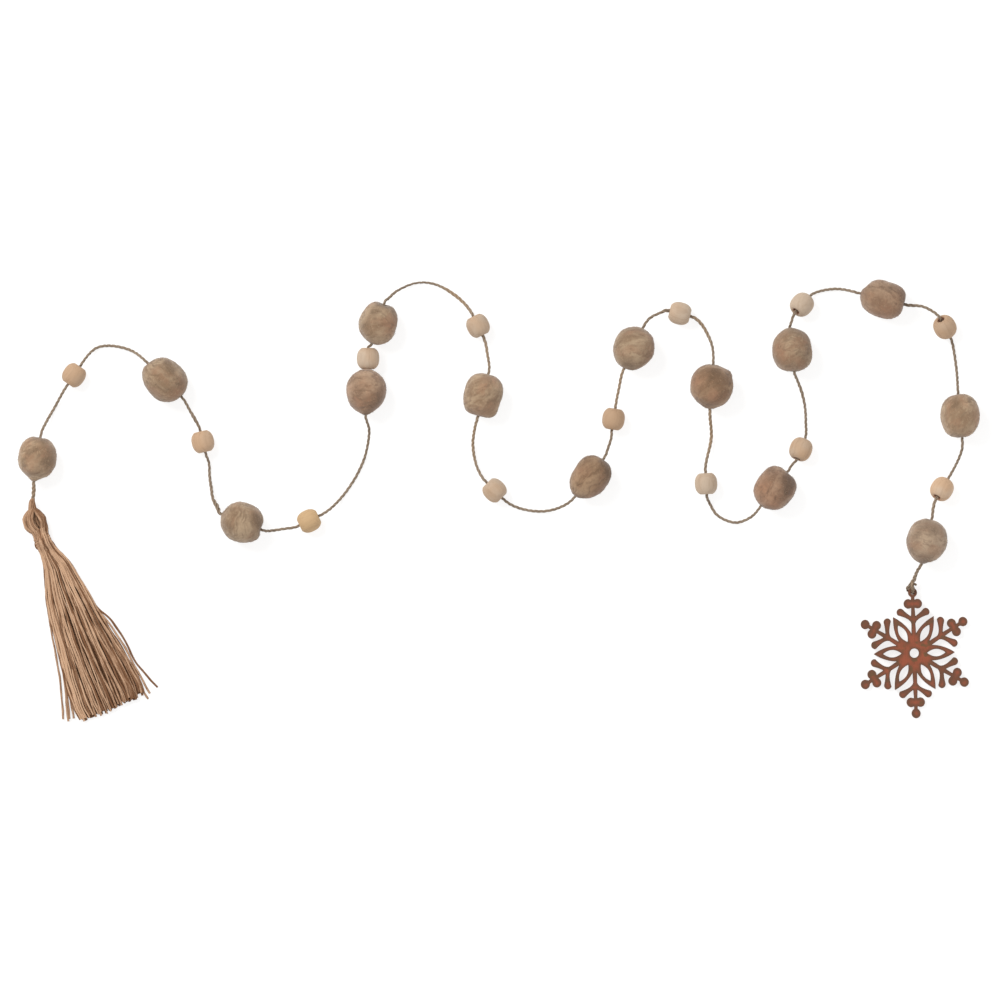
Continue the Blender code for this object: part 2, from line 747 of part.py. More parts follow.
def tassel_rings():
    """Rings of points for every section, the last one drawn out at each lock and back at each groove."""
    columns = 2 * LOCKS
    places = [on_surface(section.x, section.y) for section in TASSEL_SECTIONS]
    rings = []
    for index, section in enumerate(TASSEL_SECTIONS):
        before = places[max(index - 1, 0)]
        after = places[min(index + 1, len(places) - 1)]
        along = (after - before).normalized()
        over, under = section_ring(section, along, columns)
        if index == len(places) - 1:
            for column in range(columns + 1):
                lock = min(column // 2, LOCKS - 1)
                out = -NOTCH_DEPTH if column % 2 == 0 and 0 < column < columns else LOCK_ENDS[lock] / 1000
                over[column] += along * out
                under[column] += along * out
        rings.append((over, under))
    return rings


def tassel_bundle(collection):
    """The bundle of jute strands, folded at its head, tied at its neck and cut at its foot."""
    mesh = bpy.data.meshes.new("tassel_bundle")
    work = bmesh.new()
    columns = 2 * LOCKS
    loops = []
    for over, under in tassel_rings():
        top = [work.verts.new(point) for point in over]
        bottom = [work.verts.new(point) for point in under[1:-1]]
        loops.append(top + bottom[::-1])
    for near, far in zip(loops, loops[1:]):
        for index in range(len(near)):
            following = (index + 1) % len(near)
            work.faces.new((near[index], near[following], far[following], far[index]))
    work.faces.new(loops[0][::-1])
    end = loops[-1]
    for column in range(columns):
        top_left = end[column]
        top_right = end[column + 1]
        low_right = end[-(column + 1)] if column + 1 < columns else None
        low_left = end[-column] if column else None
        corners = [corner for corner in (top_left, top_right, low_right, low_left) if corner]
        work.faces.new(corners)
    bmesh.ops.recalc_face_normals(work, faces=work.faces)
    work.to_mesh(mesh)
    work.free()
    return mesh_object("tassel_bundle", mesh, collection)


def stray_strand(number, radius, points, collection):
    """A helper tube that the bundle is joined with."""
    route = smooth([on_surface(x, y, height / 1000) for x, y, height in points], STRAY_STEP)
    for point in route:
        point.z = max(point.z, radius)
    helper = tube("stray_curve", route, radius, collection)
    obj = as_mesh(helper, f"stray_strand_{number}", collection)
    obj.hide_render = True
    obj.display_type = "WIRE"
    return obj


def tassel(collection, helpers):
    bundle = tassel_bundle(collection)
    for number, (radius, points) in enumerate(STRAYS, 1):
        join = bundle.modifiers.new(f"stray_{number}", "BOOLEAN")
        join.operation = "UNION"
        join.solver = "EXACT"
        join.object = stray_strand(number, radius / 1000, points, helpers)
    return finish(bundle, JUTE, YARN_ROUGHNESS)


def tassel_wrap(collection):
    """The turns of jute round the tassel's neck, as one ring with a ridge for each turn."""
    half = WRAP_LENGTH / 2
    outer = [(WRAP_OUTER - WRAP_END_RIDGE, half)]
    for turn in range(WRAP_TURNS):
        top = half - WRAP_LENGTH * (turn + WRAP_CROWN[0]) / WRAP_TURNS
        bottom = half - WRAP_LENGTH * (turn + WRAP_CROWN[1]) / WRAP_TURNS
        groove = half - WRAP_LENGTH * (turn + 1) / WRAP_TURNS
        outer += [(WRAP_OUTER, top), (WRAP_OUTER, bottom), (WRAP_OUTER - WRAP_RIDGE, groove)]
    outer[-1] = (WRAP_OUTER - WRAP_END_RIDGE, -half)
    profile = outer + [(WRAP_INNER, -half), (WRAP_INNER, half)]
    obj = turned("tassel_wrap", profile, WRAP_SIDES, collection)
    lay_along(obj, on_surface(WRAP_X, WRAP_Y, WRAP_HEIGHT), direction(WRAP_HEADING))
    flatten_underside(obj)
    obj.data.shade_smooth()
    return finish(obj, JUTE, YARN_ROUGHNESS)


def tassel_hanger(collection):
    """The tied strands on top of the tassel's head, which the twine ends in."""
    work = bmesh.new()
    bmesh.ops.create_cone(
        work,
        cap_ends=True,
        segments=HANGER_SIDES,
        radius1=HANGER_FOOT_RADIUS,
        radius2=HANGER_TOP_RADIUS,
        depth=HANGER_LENGTH,
    )
    mesh = bpy.data.meshes.new("tassel_hanger")
    work.to_mesh(mesh)
    work.free()
    obj = mesh_object("tassel_hanger", mesh, collection)
    lay_along(obj, on_surface(HANGER_X, HANGER_Y, HANGER_HEIGHT), direction(HANGER_HEADING))
    return finish(obj, JUTE, YARN_ROUGHNESS)


def main():
    clear_scene()
    parts = new_collection("snowflake_and_tassel_garland")
    helpers = new_collection("joining_helpers", hidden=True)
    for number, ball in enumerate(FELT_BALLS, 1):
        felt_ball(f"felt_ball_{number:02d}", ball, number, parts)
    for number, bead in enumerate(WOOD_BEADS, 1):
        wood_bead(f"wood_bead_{number:02d}", bead, parts)
    twine(parts)
    snowflake(parts)
    snowflake_loop(parts)
    snowflake_knot(parts)
    tassel(parts, helpers)
    tassel_wrap(parts)
    tassel_hanger(parts)


main()
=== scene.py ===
"""The looks of a garland of felt balls and wooden beads on jute twine, with a snowflake and a tassel.

Metres, +Z up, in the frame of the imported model. The garland lies on the surface z = 0 and is seen from above.
"""

import math
import random
from collections import namedtuple
from functools import partial

import bmesh
import bpy
import numpy as np
from mathutils import Matrix, Vector, noise
from mathutils.geometry import delaunay_2d_cdt


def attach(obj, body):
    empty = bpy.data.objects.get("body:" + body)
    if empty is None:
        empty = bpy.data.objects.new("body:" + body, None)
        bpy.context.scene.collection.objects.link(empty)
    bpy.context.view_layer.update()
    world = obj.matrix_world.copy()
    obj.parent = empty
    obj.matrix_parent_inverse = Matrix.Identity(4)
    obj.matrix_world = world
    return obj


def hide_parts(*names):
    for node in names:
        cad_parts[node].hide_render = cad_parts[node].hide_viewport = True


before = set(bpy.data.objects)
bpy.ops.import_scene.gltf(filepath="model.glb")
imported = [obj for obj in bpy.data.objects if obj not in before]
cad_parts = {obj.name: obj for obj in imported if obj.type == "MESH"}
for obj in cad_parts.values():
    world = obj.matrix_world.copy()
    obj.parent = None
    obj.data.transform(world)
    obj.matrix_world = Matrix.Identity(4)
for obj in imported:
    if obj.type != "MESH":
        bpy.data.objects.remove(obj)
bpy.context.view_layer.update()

# Places and sizes that the frame's own source has too

PIXEL = 0.00072  # what one pixel of the photograph covers on the surface
MIDDLE_X = 498.9  # pixel over the origin
MIDDLE_Y = 502.0
PICTURE_SIDE = 1000  # pixels

TWINE_RADIUS = 0.001
MOUTH_REACH = 0.0008  # the twine leaves a bore straight for this long

FELT_BORE_RADIUS = 0.0014
FELT_PROFILE_RINGS = 8
FELT_FLAT = 0.0006  # how far a ball is pressed in where it rests
LUMP_HEIGHT = 0.0006

BEAD_RADIUS = 0.0081
BEAD_LENGTH = 0.0152
BEAD_BORE_RADIUS = 0.0026

Felt = namedtuple("Felt", "x y length width heading pitch taper fullness wool shade")
Bead = namedtuple("Bead", "x y heading pitch height tone")

# Felt balls from the tassel to the snowflake: middle, length and width in pixels, the way the twine runs through
# them in degrees from +X and up from the surface, how much they narrow, how square they are, and their wool.
FELT_BALLS = [Felt(*row) for row in (
    (37.5, 457.3, 42, 38.5, 81, 0, 0, 2.1, "oatmeal", 1.13),
    (164.6, 380, 47, 41.5, -45, 0, 0, 2.1, "oatmeal", 1.02),
    (242.2, 522.3, 43.5, 40.3, -21, 0, 0, 2.1, "oatmeal", 1.01),
    (366.4, 391.2, 44.4, 39.5, 88, -13, 0.02, 2.1, "hazel", 1.07),
    (378.2, 323.6, 42, 37.4, 73, 13, 0, 2.25, "oatmeal", 1.03),
    (483.2, 395.2, 43.5, 38.4, -104, 0, 0, 2.25, "oatmeal", 1.1),
    (589.8, 476.9, 45.8, 37.4, 53, 0, 0.04, 2.2, "umber", 1.06),
    (633.4, 348.4, 44.5, 40.5, 65, 0, 0, 2, "oatmeal", 1),
    (711.5, 386, 43.5, 42.6, -94, 0, 0, 2.1, "umber", 1.1),
    (774.7, 488.2, 43.5, 39.5, 52, -8, 0, 2.2, "chestnut", 1.08),
    (791.8, 350.2, 42, 39.4, 96, -8, -0.05, 2.3, "oatmeal", 1.01),
    (883, 299.2, 44.6, 37, -14, 0, 0.02, 2.5, "hazel", 1.03),
    (960, 415.7, 44, 38.8, -85, 0, 0, 2.2, "oatmeal", 1.18),
    (926.7, 540.7, 43.5, 40.3, -103, 0, 0, 2.1, "ash", 1.03),
)]

# Wooden beads, each after the felt ball of the same row; height is of the middle, in metres.
WOOD_BEADS = [Bead(*row) for row in (
    (73.9, 375.2, 56, 0, 0.008, 0.8),
    (202.8, 441.7, -77, 0, 0.008, 0.7),
    (309, 520.9, 26, 0, 0.008, 1.5),
    (368.1, 358.5, 89, 0, 0.0098, 0.35),
    (478, 325.8, -64, 0, 0.008, 0.55),
    (494.6, 490.4, -45, 0, 0.008, 0.52),
    (613.5, 419.1, 81, 0, 0.008, 0.85),
    (679.9, 313.4, -15, 0, 0.008, 0.4),
    (706.1, 483.7, -87, 0, 0.008, 0.3),
    (800.9, 449.3, 68, -12, 0.008, 0.6),
    (802, 304.6, 48, -28, 0.0081, 0.25),
    (945, 327, -60, -34, 0.0081, 0.75),
    (942, 489, -122, 24, 0.0081, 0.65),
)]

# How much lighter or darker than the rest some of the beads are
BEAD_SHADES = {1: 0.93, 5: 0.94, 6: 0.97, 7: 0.89, 12: 0.95, 13: 1.16}

# The twine's own points in the free stretches, in order: pixel x, pixel y, height in millimetres.
# The first stretch leaves the tassel's knot, the last one ends at the snowflake's knot.
STRETCHES = [
    [(32.8, 498.9, 6.2), (33.7, 490, 9.6)],
    [(44.6, 425, 7), (53, 409.5, 1.6)],
    [(98, 347, 1.4), (126, 348.5, 2.6)],
    [(190.1, 410.9, 11), (194.3, 418.2, 9.4)],
    [(208.7, 463, 3), (209.4, 477, 1.3), (210.9, 487, 2.4), (213, 499, 7), (217.6, 507.2, 11.4)],
    [(269, 530.9, 11), (284.5, 528.8, 8.4)],
    [(343, 495.5, 1.4), (362.5, 463, 1.5), (369.2, 432, 8.2)],
    [],
    [],
    [(388, 298.9, 8.8), (397.8, 290.3, 4.2), (417.4, 282.6, 1.4), (436.9, 284.7, 1.2), (458.9, 298.2, 2.6)],
    [(487.6, 355, 8.6)],
    [(474.7, 428.5, 9.5), (472.9, 446, 3.4), (477, 467, 3.6)],
    [(525, 509.7, 1.5), (552, 510, 3.4)],
    [(607.9, 448.5, 12), (611.4, 437.5, 9.8)],
    [(619, 388, 10.6)],
    [(650.3, 317.8, 10.5), (660, 313, 8.8)],
    [(709.5, 338, 5.6)],
    [(711.4, 438, 3.4)],
    [(709.4, 502.5, 2.6), (717.5, 515.3, 1.6), (734.8, 522.6, 2), (750.5, 517.4, 8.2)],
    [(791.6, 465.2, 11.4)],
    [(806, 422, 4.2), (805.2, 407, 3.6), (802, 392.5, 6), (797.6, 381, 10.6)],
    [(791.2, 322.5, 13.3), (793.2, 315.8, 12.4)],
    [(834, 288.8, 2.6)],
    [(924, 307, 12.6)],
    [(956.4, 366, 4)],
    [(961, 453, 10)],
    [(933, 508.5, 12.8)],
    [(917.2, 571, 10.2), (913.7, 580.7, 5.9)],
]

# How a ball departs from its turned shape: degrees from +X seen from above, rise in millimetres, spread in radians
SHAPINGS = {
    1: [(-62, 0.5, 0.3), (118, 0.4, 0.3), (200, 0.4, 0.3), (-30, 0.5, 0.3)],
    2: [(-5, 0.5, 0.4), (-48, 0.5, 0.3), (215, -0.9, 0.5), (150, 0.4, 0.3)],
    3: [(140, -0.4, 0.5), (-45, 0.9, 0.35)],
    4: [(200, 0.3, 0.5), (-48, -0.5, 0.3)],
    5: [(99, 0.7, 0.24), (70, -0.9, 0.18), (-62, 0.5, 0.45), (228, -0.9, 0.4),
        (40, 0.5, 0.3), (190, 0.4, 0.35)],
    6: [(-60, 1.7, 0.27), (-36, -0.8, 0.25), (45, 0.5, 0.35), (214, 0.7, 0.3),
        (125, 0.8, 0.35)],
    7: [(5, 0.5, 0.5), (62, -0.5, 0.3), (224, 0.5, 0.18), (150, -1.4, 0.42)],
    8: [(20, 0.3, 0.5)],
    9: [(36, 1.3, 0.17), (58, -0.6, 0.18), (-140, -0.3, 0.5)],
    10: [(50, -1.3, 0.26), (95, 0.6, 0.35), (8, 0.4, 0.35), (150, -0.6, 0.35)],
    11: [(95, 0.6, 0.26), (42, 0.5, 0.35), (-60, 0.5, 0.4)],
    12: [(166, 0.5, 0.15), (-75, 0.2, 0.4), (204, -0.6, 0.3), (137, -1.1, 0.28),
         (24, 0.5, 0.3)],
    13: [(40, 0.2, 0.4), (-130, 0.3, 0.4)],
    14: [(-50, -0.4, 0.4), (35, 0.5, 0.35), (250, 0.5, 0.22)],
}

# What each ball does at the two mouths of its bore, where the twine enters and leaves: rise (+) or dimple (-) in mm
MOUTHS = {
    1: (2.6, -1.4), 2: (-0.3, -0.4), 3: (0.3, -2.2), 4: (1.8, 0.2), 5: (0.3, -1.2), 6: (-0.6, -0.4), 7: (0.9, -0.9),
    8: (-0.3, -0.3), 9: (-0.4, 0.9), 10: (0.4, -1.4), 11: (0.2, 1), 12: (0.6, -1.2), 13: (-0.6, -0.3), 14: (-0.3, 1.2),
}
MOUTH_WIDTH = 0.0032
MOUTH_WIDTHS = {1: 0.0026}  # where it isn't the usual one

# Darker or redder patches on a ball: degrees from +X and up from the surface, spread in radians, how dark, how red
PATCHES = {
    1: [(-10, 50, 0.42, 0.55, 0.45), (75, 25, 0.3, 0.55, 0.3), (150, 60, 0.25, -0.2, 0)],
    2: [(55, 55, 0.22, 0.55, 0.1), (80, 35, 0.14, 0.7, 0), (-10, 45, 0.2, 0.45, 0.35),
        (-60, 30, 0.3, 0.1, 0.45)],
    3: [(8, 40, 0.22, 0.7, 0.3), (-15, 20, 0.18, 0.55, 0.5), (50, 45, 0.25, 0.3, 0.1),
        (170, 35, 0.5, -0.2, -0.2)],
    4: [(-75, 35, 0.45, 0.35, 0.5), (-30, 35, 0.35, 0.35, 0.25), (170, 60, 0.3, 0.25, 0.2)],
    5: [(-25, 40, 0.4, 0.1, 0.55), (110, 55, 0.2, 0.45, 0.05), (190, 45, 0.25, 0.4, 0.1),
        (75, 20, 0.3, 0.5, 0.1)],
    6: [(70, 45, 0.25, 0.35, 0.45), (-95, 20, 0.45, 0.2, 0.45), (175, 30, 0.45, -0.3, -0.2)],
    7: [(22, 25, 0.3, 0.75, 0.1), (-55, 35, 0.35, 0.3, 0.35), (150, 60, 0.35, -0.1, 0.2)],
    8: [(-10, 20, 0.4, 0.1, 0.45), (-110, 35, 0.3, 0.4, 0.1)],
    9: [(75, 55, 0.3, 0.55, 0.1), (-60, 50, 0.3, 0.25, 0.45), (170, 40, 0.35, 0, 0.35)],
    10: [(28, 35, 0.28, 0.75, 0), (-20, 50, 0.18, 0.55, 0.1), (180, 35, 0.6, 0.15, 0.6),
         (-90, 50, 0.35, -0.2, 0.35)],
    11: [(175, 40, 0.4, 0.05, 0.55), (-10, 45, 0.4, 0.25, 0.1), (-100, 35, 0.3, 0.2, 0.35)],
    12: [(-85, 40, 0.5, 0.1, 0.6), (10, 25, 0.35, 0.4, 0.5), (60, 45, 0.22, 0.3, 0),
         (150, 30, 0.4, 0.25, 0.05)],
    13: [(120, 55, 0.2, 0.45, 0.1), (-5, 20, 0.35, 0.05, 0.35), (-95, 25, 0.4, 0.3, 0.1)],
    14: [(60, 50, 0.3, 0.35, 0), (140, 50, 0.3, 0.35, 0), (-100, 25, 0.3, 0.45, 0.3)],
}

# Which way each ball's wool lies, in degrees from +X seen from above
STREAKS = {1: 20, 2: -30, 3: 80, 4: 2, 5: 4, 6: 25, 7: 45, 8: 8, 9: 30, 10: 60, 11: 20, 12: -40, 13: 50, 14: -10}
LUMP_SWELLS = 1.6  # slow swells over a ball, per radius
FELT_SIDES = 100
FELT_RINGS = 84
MOUTH_RADIUS = 0.00115
MOUTH_DEPTH = 0.0008  # how far a mouth's wall is seen to reach in
# how far the painted shade round a mouth reaches
DIMPLE_SHADE = 0.0024
SHAPE_MARGIN = 0.0026  # nearer the bore than this the ball keeps its turned shape

BEAD_SIDES = 48
BEAD_RINGS = 26
BEAD_END_RADIUS = 0.0044
BEAD_FULLNESS = 2.45
RIM_EASE = 0.0004

# The snowflake, in metres, in the frame of one arm: across, along. Arcs run between angles in degrees.
Arc = namedtuple("Arc", "across along radius start end")
SNOWFLAKE_X = 914.6
SNOWFLAKE_Y = 653.2
SNOWFLAKE_TURN = 1.5
SNOWFLAKE_ACROSS = 0.963
SNOWFLAKE_THICKNESS = 0.003
SNOWFLAKE_LIFT = 0.0028
ARMS = 6
ARM_REACHES = [1.012, 0.994, 0.992, 1.007, 0.997, 0.976]
ARM_TURNS = [0.3, 0.6, -0.6, 0.3, 0.2, -0.8]
HUB_HOLE_RADIUS = 0.0034
HANGING_HOLE_RADIUS = 0.0013
TIP = Arc(0.0, 0.0432, 0.0034, 90, -42)
NECK_HALF = 0.0013
BAR = Arc(0.0035, 0.0352, 0.0034, 118, -118)
BAR_HALF = 0.003
STEM_HALF = 0.0013
CROTCH = (0.0016, 0.0264)
CLUB = Arc(0.0095, 0.0292, 0.0028, 125, -45)
CLUB_BACK = (0.004, 0.0276)
ARMPIT = (0.0015, 0.021)
ARMPIT_PULL = (0.0023, 0.0248)
NOTCH = (0.0017, 0.0142)
LEAF_TIP = (0.0, 0.0304)
LEAF_BELLY = (-0.0055, 0.022)
OPENING_NEAR = 0.0096
OPENING_FAR = 0.0233
OPENING_HALF = 0.0027
OPENING_FULLNESS = 0.83
EDGE_ROUNDING = 0.00022
BOARD_GRID = 0.00085  # how far apart the board's inner vertices are
SCORCH_WIDTH = 0.0026
ARM_SCORCH = 0.38  # how much darker the arms are than the hub, which reaches this far
HUB_REACH = 0.018

TWINE_STEP = 0.0024

# Where the twine is thicker and more golden than elsewhere: pixel x, y, how much thicker, tone, and how far in pixels
SWELLS = [
    (33.8, 489, 0.22, 0.75, 8), (194, 418, 0.25, 0.45, 4), (217.5, 505.5, 0.6, 0.4, 4.5),
    (211, 488, 0.15, 0.4, 5), (455, 297, 0.22, 0.95, 16), (486, 350, 0.08, 0.8, 14),
    (474, 440, 0.1, 0.85, 22), (668, 311, 0.3, 0.4, 4), (702, 323, 0.2, 0.85, 14),
    (711, 430, 0.18, 0.95, 22), (621, 385, 0.05, 0.85, 24), (801, 390, 0.12, 0.6, 5),
    (934, 507, 0.2, 0.7, 6), (918, 570, 0.18, 0.5, 12), (909, 304, 0.12, 0.3, 6),
    (913.7, 580.7, 0.45, 0.6, 3), (33.6, 492, 0.25, 0.6, 6), (418, 284, -0.25, 0.25, 16),
]

# The tie at the snowflake: the knot's place, the loop in millimetres from the hanging hole's middle and the flake's
# underside, then thickness, tone and places of the short strands at the knot
TIE_STEP = 0.0008
KNOT = (912.4, 584.6, 0.0045)
KNOT_POINTS = 60
KNOT_SPREAD = 0.00044
KNOT_THICKNESS = 0.8
LOOP_THICKNESS = 1.08
HOLE_SHADE = 1.6  # how much darker the loop is in the hole, and how far from its middle
HOLE_REACH = 0.0036
LOOP_POINTS = [
    (0.7, 3.2, 4.5), (0.5, 2.1, 4.5), (0, 0.2, 3.7), (0, 0, 1.5), (-0.2, 0.1, -1.1), (-1.7, 0.9, -1.5),
    (-3.4, 1.9, -1.25), (-3.6, 3.1, -0.4), (-2.5, 4.6, 0.6),
]
TIE_STRANDS = [
    (0.85, 0.1, [(913.2, 583.6, 5.6), (914.6, 583.8, 5.9), (916.6, 585, 5.2)]),
    (0.95, 0.45, [(914.1, 579.6, 6.2), (913.4, 582, 5.6), (912.4, 585, 5.2)]),
    (0.95, 0.8, [(912.8, 581.6, 6.4), (912.2, 584.5, 6.8), (912.3, 588, 6.2), (913, 591, 5.6)]),
    (0.95, 0.2, [(912.6, 580.8, 5.4), (910.9, 583.8, 5.2), (909.2, 586.8, 4.8), (908.2, 589.6, 4.2)]),
    (0.95, -0.1, [(912.9, 581.6, 5), (911, 585, 5), (910.2, 587.8, 4.8), (910.2, 590.6, 4.6)]),
]

# The tassel's bundle from the top of its head to its cut end: pixel x and y of the middle, half width in pixels,
# half thickness and middle height in millimetres
Section = namedtuple("Section", "x y half_width half_height height")
TASSEL_SECTIONS = [Section(*row) for row in (
    (33.2, 508.9, 3.6, 2.6, 6.4),
    (33.3, 512, 7.8, 5, 6.3),
    (33.6, 517.5, 11.7, 6.2, 6.2),
    (35.2, 523.6, 12.1, 6.3, 6.2),
    (39.1, 529.2, 9.5, 5.8, 5.9),
    (40.6, 535.2, 7.7, 5.2, 5.7),
    (41.3, 537.1, 5, 3.4, 5.6),
    (45.4, 547.5, 5, 3.4, 5.5),
    (47.6, 550.2, 8.5, 5, 5.2),
    (50.6, 556, 10.2, 4.9, 4.9),
    (57, 566.8, 13.8, 4.7, 4.5),
    (66.2, 594.7, 20.6, 4.3, 4.1),
    (80.4, 632.3, 27, 3.9, 3.7),
    (95.8, 669, 33, 3.5, 3.3),
    (107.5, 696.8, 36, 3.2, 3),
    (111.6, 707.3, 34.8, 3, 2.8),
)]
HEAD_SECTIONS = 7  # of these are the head's
SKIRT_START = 7

# Where the strands run at the neck: on top of the turns that bind it
NECK_ENDS = {6: Section(42.2, 539, 8.4, 7.7, 5.8), 7: Section(44.2, 544.5, 8.5, 7.6, 5.8)}
STRAND_SECTIONS = [NECK_ENDS.get(index, section) for index, section in enumerate(TASSEL_SECTIONS)]
SKIRT_SPREAD = 1.04

STRAND_RADIUS = 0.00088
SKIRT_STEP = 0.0022
SKIRT_LAYERS = [(38, 0.95), (32, 0.05), (38, -0.9)]  # how many strands, and how high in the bundle
SKIRT_THICK = [0.68, 0.78, 0.84, 0.9, 0.95, 1, 1, 1, 1]
OVER_WRAP_START = 4.0  # where in the head the strands that hide the wrap begin
OVER_WRAP_SHARE = -0.42
NECK_PALER = 0.38
END_DARKER = 0.62  # how much a strand's tone falls towards its cut end
CUT_ENDS = [1.6, 2.6, 2, 2.8, 2.4, 2.2, 1.6, 1, 1.2, 0.8, -0.6]  # mm past the last section, left to right
NOISE_SEED = 7  # without it the strands bend another way at each run
BEND_LENGTH = 0.022  # how long a strand's bends and its drift are, and where they have grown whole
DRIFT_LENGTH = 0.06
LOOSE_LENGTH = 0.035
HEAD_RINGS = [(34, 1.0), (9, 0.45)]  # how many strands, and how far out in the head
HEAD_STEP = 0.0016
HEAD_THICK = [0.58, 0.84, 1.12, 1.16, 1, 0.76, 0.6]
HEAD_TOP = (33.2, 507.2, 0.0064)
EYE = ((34.1, 514.6), (41, 528))
EYE_HALF = 1.9
EYE_SHARE = 0.17  # strands further across than this pass right of the eye

# Strands that stray from the skirt: tone, then pixel x, pixel y and height in millimetres
STRAY_THICKNESS = 0.95
STRAYS = [
    (0.5, [(56, 570, 5), (50, 588, 4), (47.2, 604, 3), (52.5, 640, 2), (59.6, 681, 1.3), (62.8, 719.4, 1.3)]),
    (0.4, [(58, 610, 3), (61, 640, 3), (65, 678, 2.6), (69.6, 719, 2.6)]),
    (0.65, [(58, 605, 3), (60, 640, 3), (63.8, 678, 2), (68, 721.6, 1.6)]),
    (0.55, [(60, 612, 3), (64, 645, 3), (68, 684, 2.4), (73, 718.6, 2.2)]),
    (-0.1, [(84, 592, 4.2), (99, 609.6, 3.4), (108, 617, 2.6), (118, 630, 2.2), (127.5, 646, 1.8), (133.3, 658, 1.6),
            (138, 666, 1.4), (157.2, 687.6, 1.4)]),
    (0.6, [(92, 604, 4), (107.4, 621.5, 3.4), (124, 646, 3), (135.7, 667.5, 2.2), (149.9, 693.5, 1.5)]),
    (0.45, [(104, 634, 3.6), (122, 660, 3), (136, 682, 2.4), (148, 698.8, 1.6)]),
]
NECK_MIDDLE = (43.3, 542.25, 0.0058)
NECK_HEADING = -68.7
WRAP_RADIUS = 0.0053
WRAP_LENGTH = 0.008
WRAP_TURNS = 5.2
WRAP_SIDES = 26  # points to a turn
WRAP_START = 2.4
WRAP_SLANT = 0.0006
BELL_STRANDS = 11
BELL_STEP = 0.0012
BELL_THICK = [0.45, 0.62, 0.72, 0.76, 0.78]
BELL = [(33, 496.4, 0.5), (32.8, 498.6, 0.9), (31.9, 500.6, 1.5), (31.8, 503.5, 1.9), (32.2, 508, 2.3),
        (33.2, 512.5, 2.9)]  # pixel x, y and radius in millimetres, down the bell
WRAP_TAIL = [(39, 536.6, 7), (36.9, 538.8, 6.8), (36, 542.2, 6.6), (35.9, 545.6, 6.4), (37, 548.2, 6.2),
             (39, 548.9, 6.4)]

# Colours, as the shader takes them

WOOLS = {
    "oatmeal": ((0.395, 0.287, 0.188), (0.24, 0.157, 0.095)),
    "hazel": ((0.38, 0.257, 0.17), (0.215, 0.134, 0.084)),
    "umber": ((0.335, 0.222, 0.135), (0.19, 0.115, 0.066)),
    "chestnut": ((0.345, 0.232, 0.155), (0.185, 0.114, 0.073)),
    "ash": ((0.42, 0.308, 0.215), (0.25, 0.172, 0.115)),
}
WOOL_RUSSET = (0.33, 0.18, 0.108)
TWINE_LIGHT = (0.385, 0.3, 0.225)
TWINE_DARK = (0.185, 0.132, 0.09)
TWINE_GOLDEN = (0.34, 0.215, 0.115)
JUTE_LIGHT = (0.6, 0.385, 0.245)
JUTE_DARK = (0.185, 0.084, 0.038)
WOOD_LIGHT = (0.49, 0.385, 0.29)
WOOD_WARM = (0.49, 0.325, 0.205)
WOOD_HONEY = (0.54, 0.37, 0.175)
WOOD_PORE = (0.29, 0.18, 0.11)
STAIN_FACE = (0.3, 0.081, 0.041)
STAIN_PATCH = (0.215, 0.07, 0.036)
STAIN_DARK = (0.15, 0.05, 0.028)
SCORCH = (0.128, 0.062, 0.036)
# Painted shade in a bead's bore: at its rim, then on its wall
BORE_RIM_SHADE = (0.35, 0.195, 0.13)
BORE_WALL_SHADE = (0.5, 0.27, 0.175)
STAIN_OLIVE = (0.13, 0.078, 0.034)


# Node helpers


class Value:
    """An output of a node, and the nodes that reckon on from it."""

    def __init__(self, socket):
        self.socket = socket

    def of(self, output):
        """Another output of the same node."""
        return Value(self.socket.node.outputs[output])

    def then(self, kind, inputs, **settings):
        return add(self.socket.id_data, kind, inputs, **settings)

    def maths(self, operation, other=0.0):
        return self.then("ShaderNodeMath", {0: self, 1: other}, operation=operation)

    def __add__(self, other):
        return self.maths("ADD", other)

    def __sub__(self, other):
        return self.maths("SUBTRACT", other)

    def __mul__(self, other):
        return self.maths("MULTIPLY", other)

    def __rsub__(self, other):
        return self.then("ShaderNodeMath", {0: other, 1: self}, operation="SUBTRACT")

    def clamped(self):
        self.socket.node.use_clamp = True
        return self

    def vector(self, operation, other):
        return self.then("ShaderNodeVectorMath", {0: self, 1: other}, operation=operation)

    def stretched(self, *factors):
        """The vector with each part times its own factor."""
        return self.vector("MULTIPLY", factors)

    def scaled(self, factor):
        return self.then("ShaderNodeVectorMath", {0: self, "Scale": factor}, operation="SCALE")

    def noise(self, scale, detail=2.0, roughness=0.5):
        inputs = {"Vector": self, "Scale": scale, "Detail": detail, "Roughness": roughness}
        return self.then("ShaderNodeTexNoise", inputs)

    def warped(self, scale, amount):
        """The vector pushed about by a slow noise, so that a pattern on it swirls."""
        push = self.noise(scale).of("Color").vector("SUBTRACT", (0.5, 0.5, 0.5))
        return self.vector("ADD", push.scaled(amount))

    def ramp(self, low, high):
        """0 below low, 1 above high, smooth between."""
        return self.then("ShaderNodeMapRange", {0: self, 1: low, 2: high}, interpolation_type="SMOOTHSTEP")

    def mix(self, first, second):
        """The first colour where this is 0, the second where it is 1."""
        first, second = ((*colour, 1.0) if isinstance(colour, tuple) else colour for colour in (first, second))
        return self.then("ShaderNodeMix", {0: self, 6: first, 7: second}, data_type="RGBA").of(2)


def add(tree, kind, inputs=None, **settings):
    """A node with its settings and inputs, each a Value, a plain value or a list of them; its first output."""
    node = tree.nodes.new(kind)
    for name, value in settings.items():
        setattr(node, name, value)
    for name, values in (inputs or {}).items():
        for value in values if isinstance(values, list) else [values]:
            if isinstance(value, Value):
                tree.links.new(value.socket, node.inputs[name])
            else:
                node.inputs[name].default_value = value
    return Value(node.outputs[0]) if len(node.outputs) else None


def add_geometry(tree, kind, inputs=None, **settings):
    return add(tree, "GeometryNode" + kind, inputs, **settings)


def named_value(tree, name):
    return add_geometry(tree, "InputNamedAttribute", {"Name": name}, data_type="FLOAT")


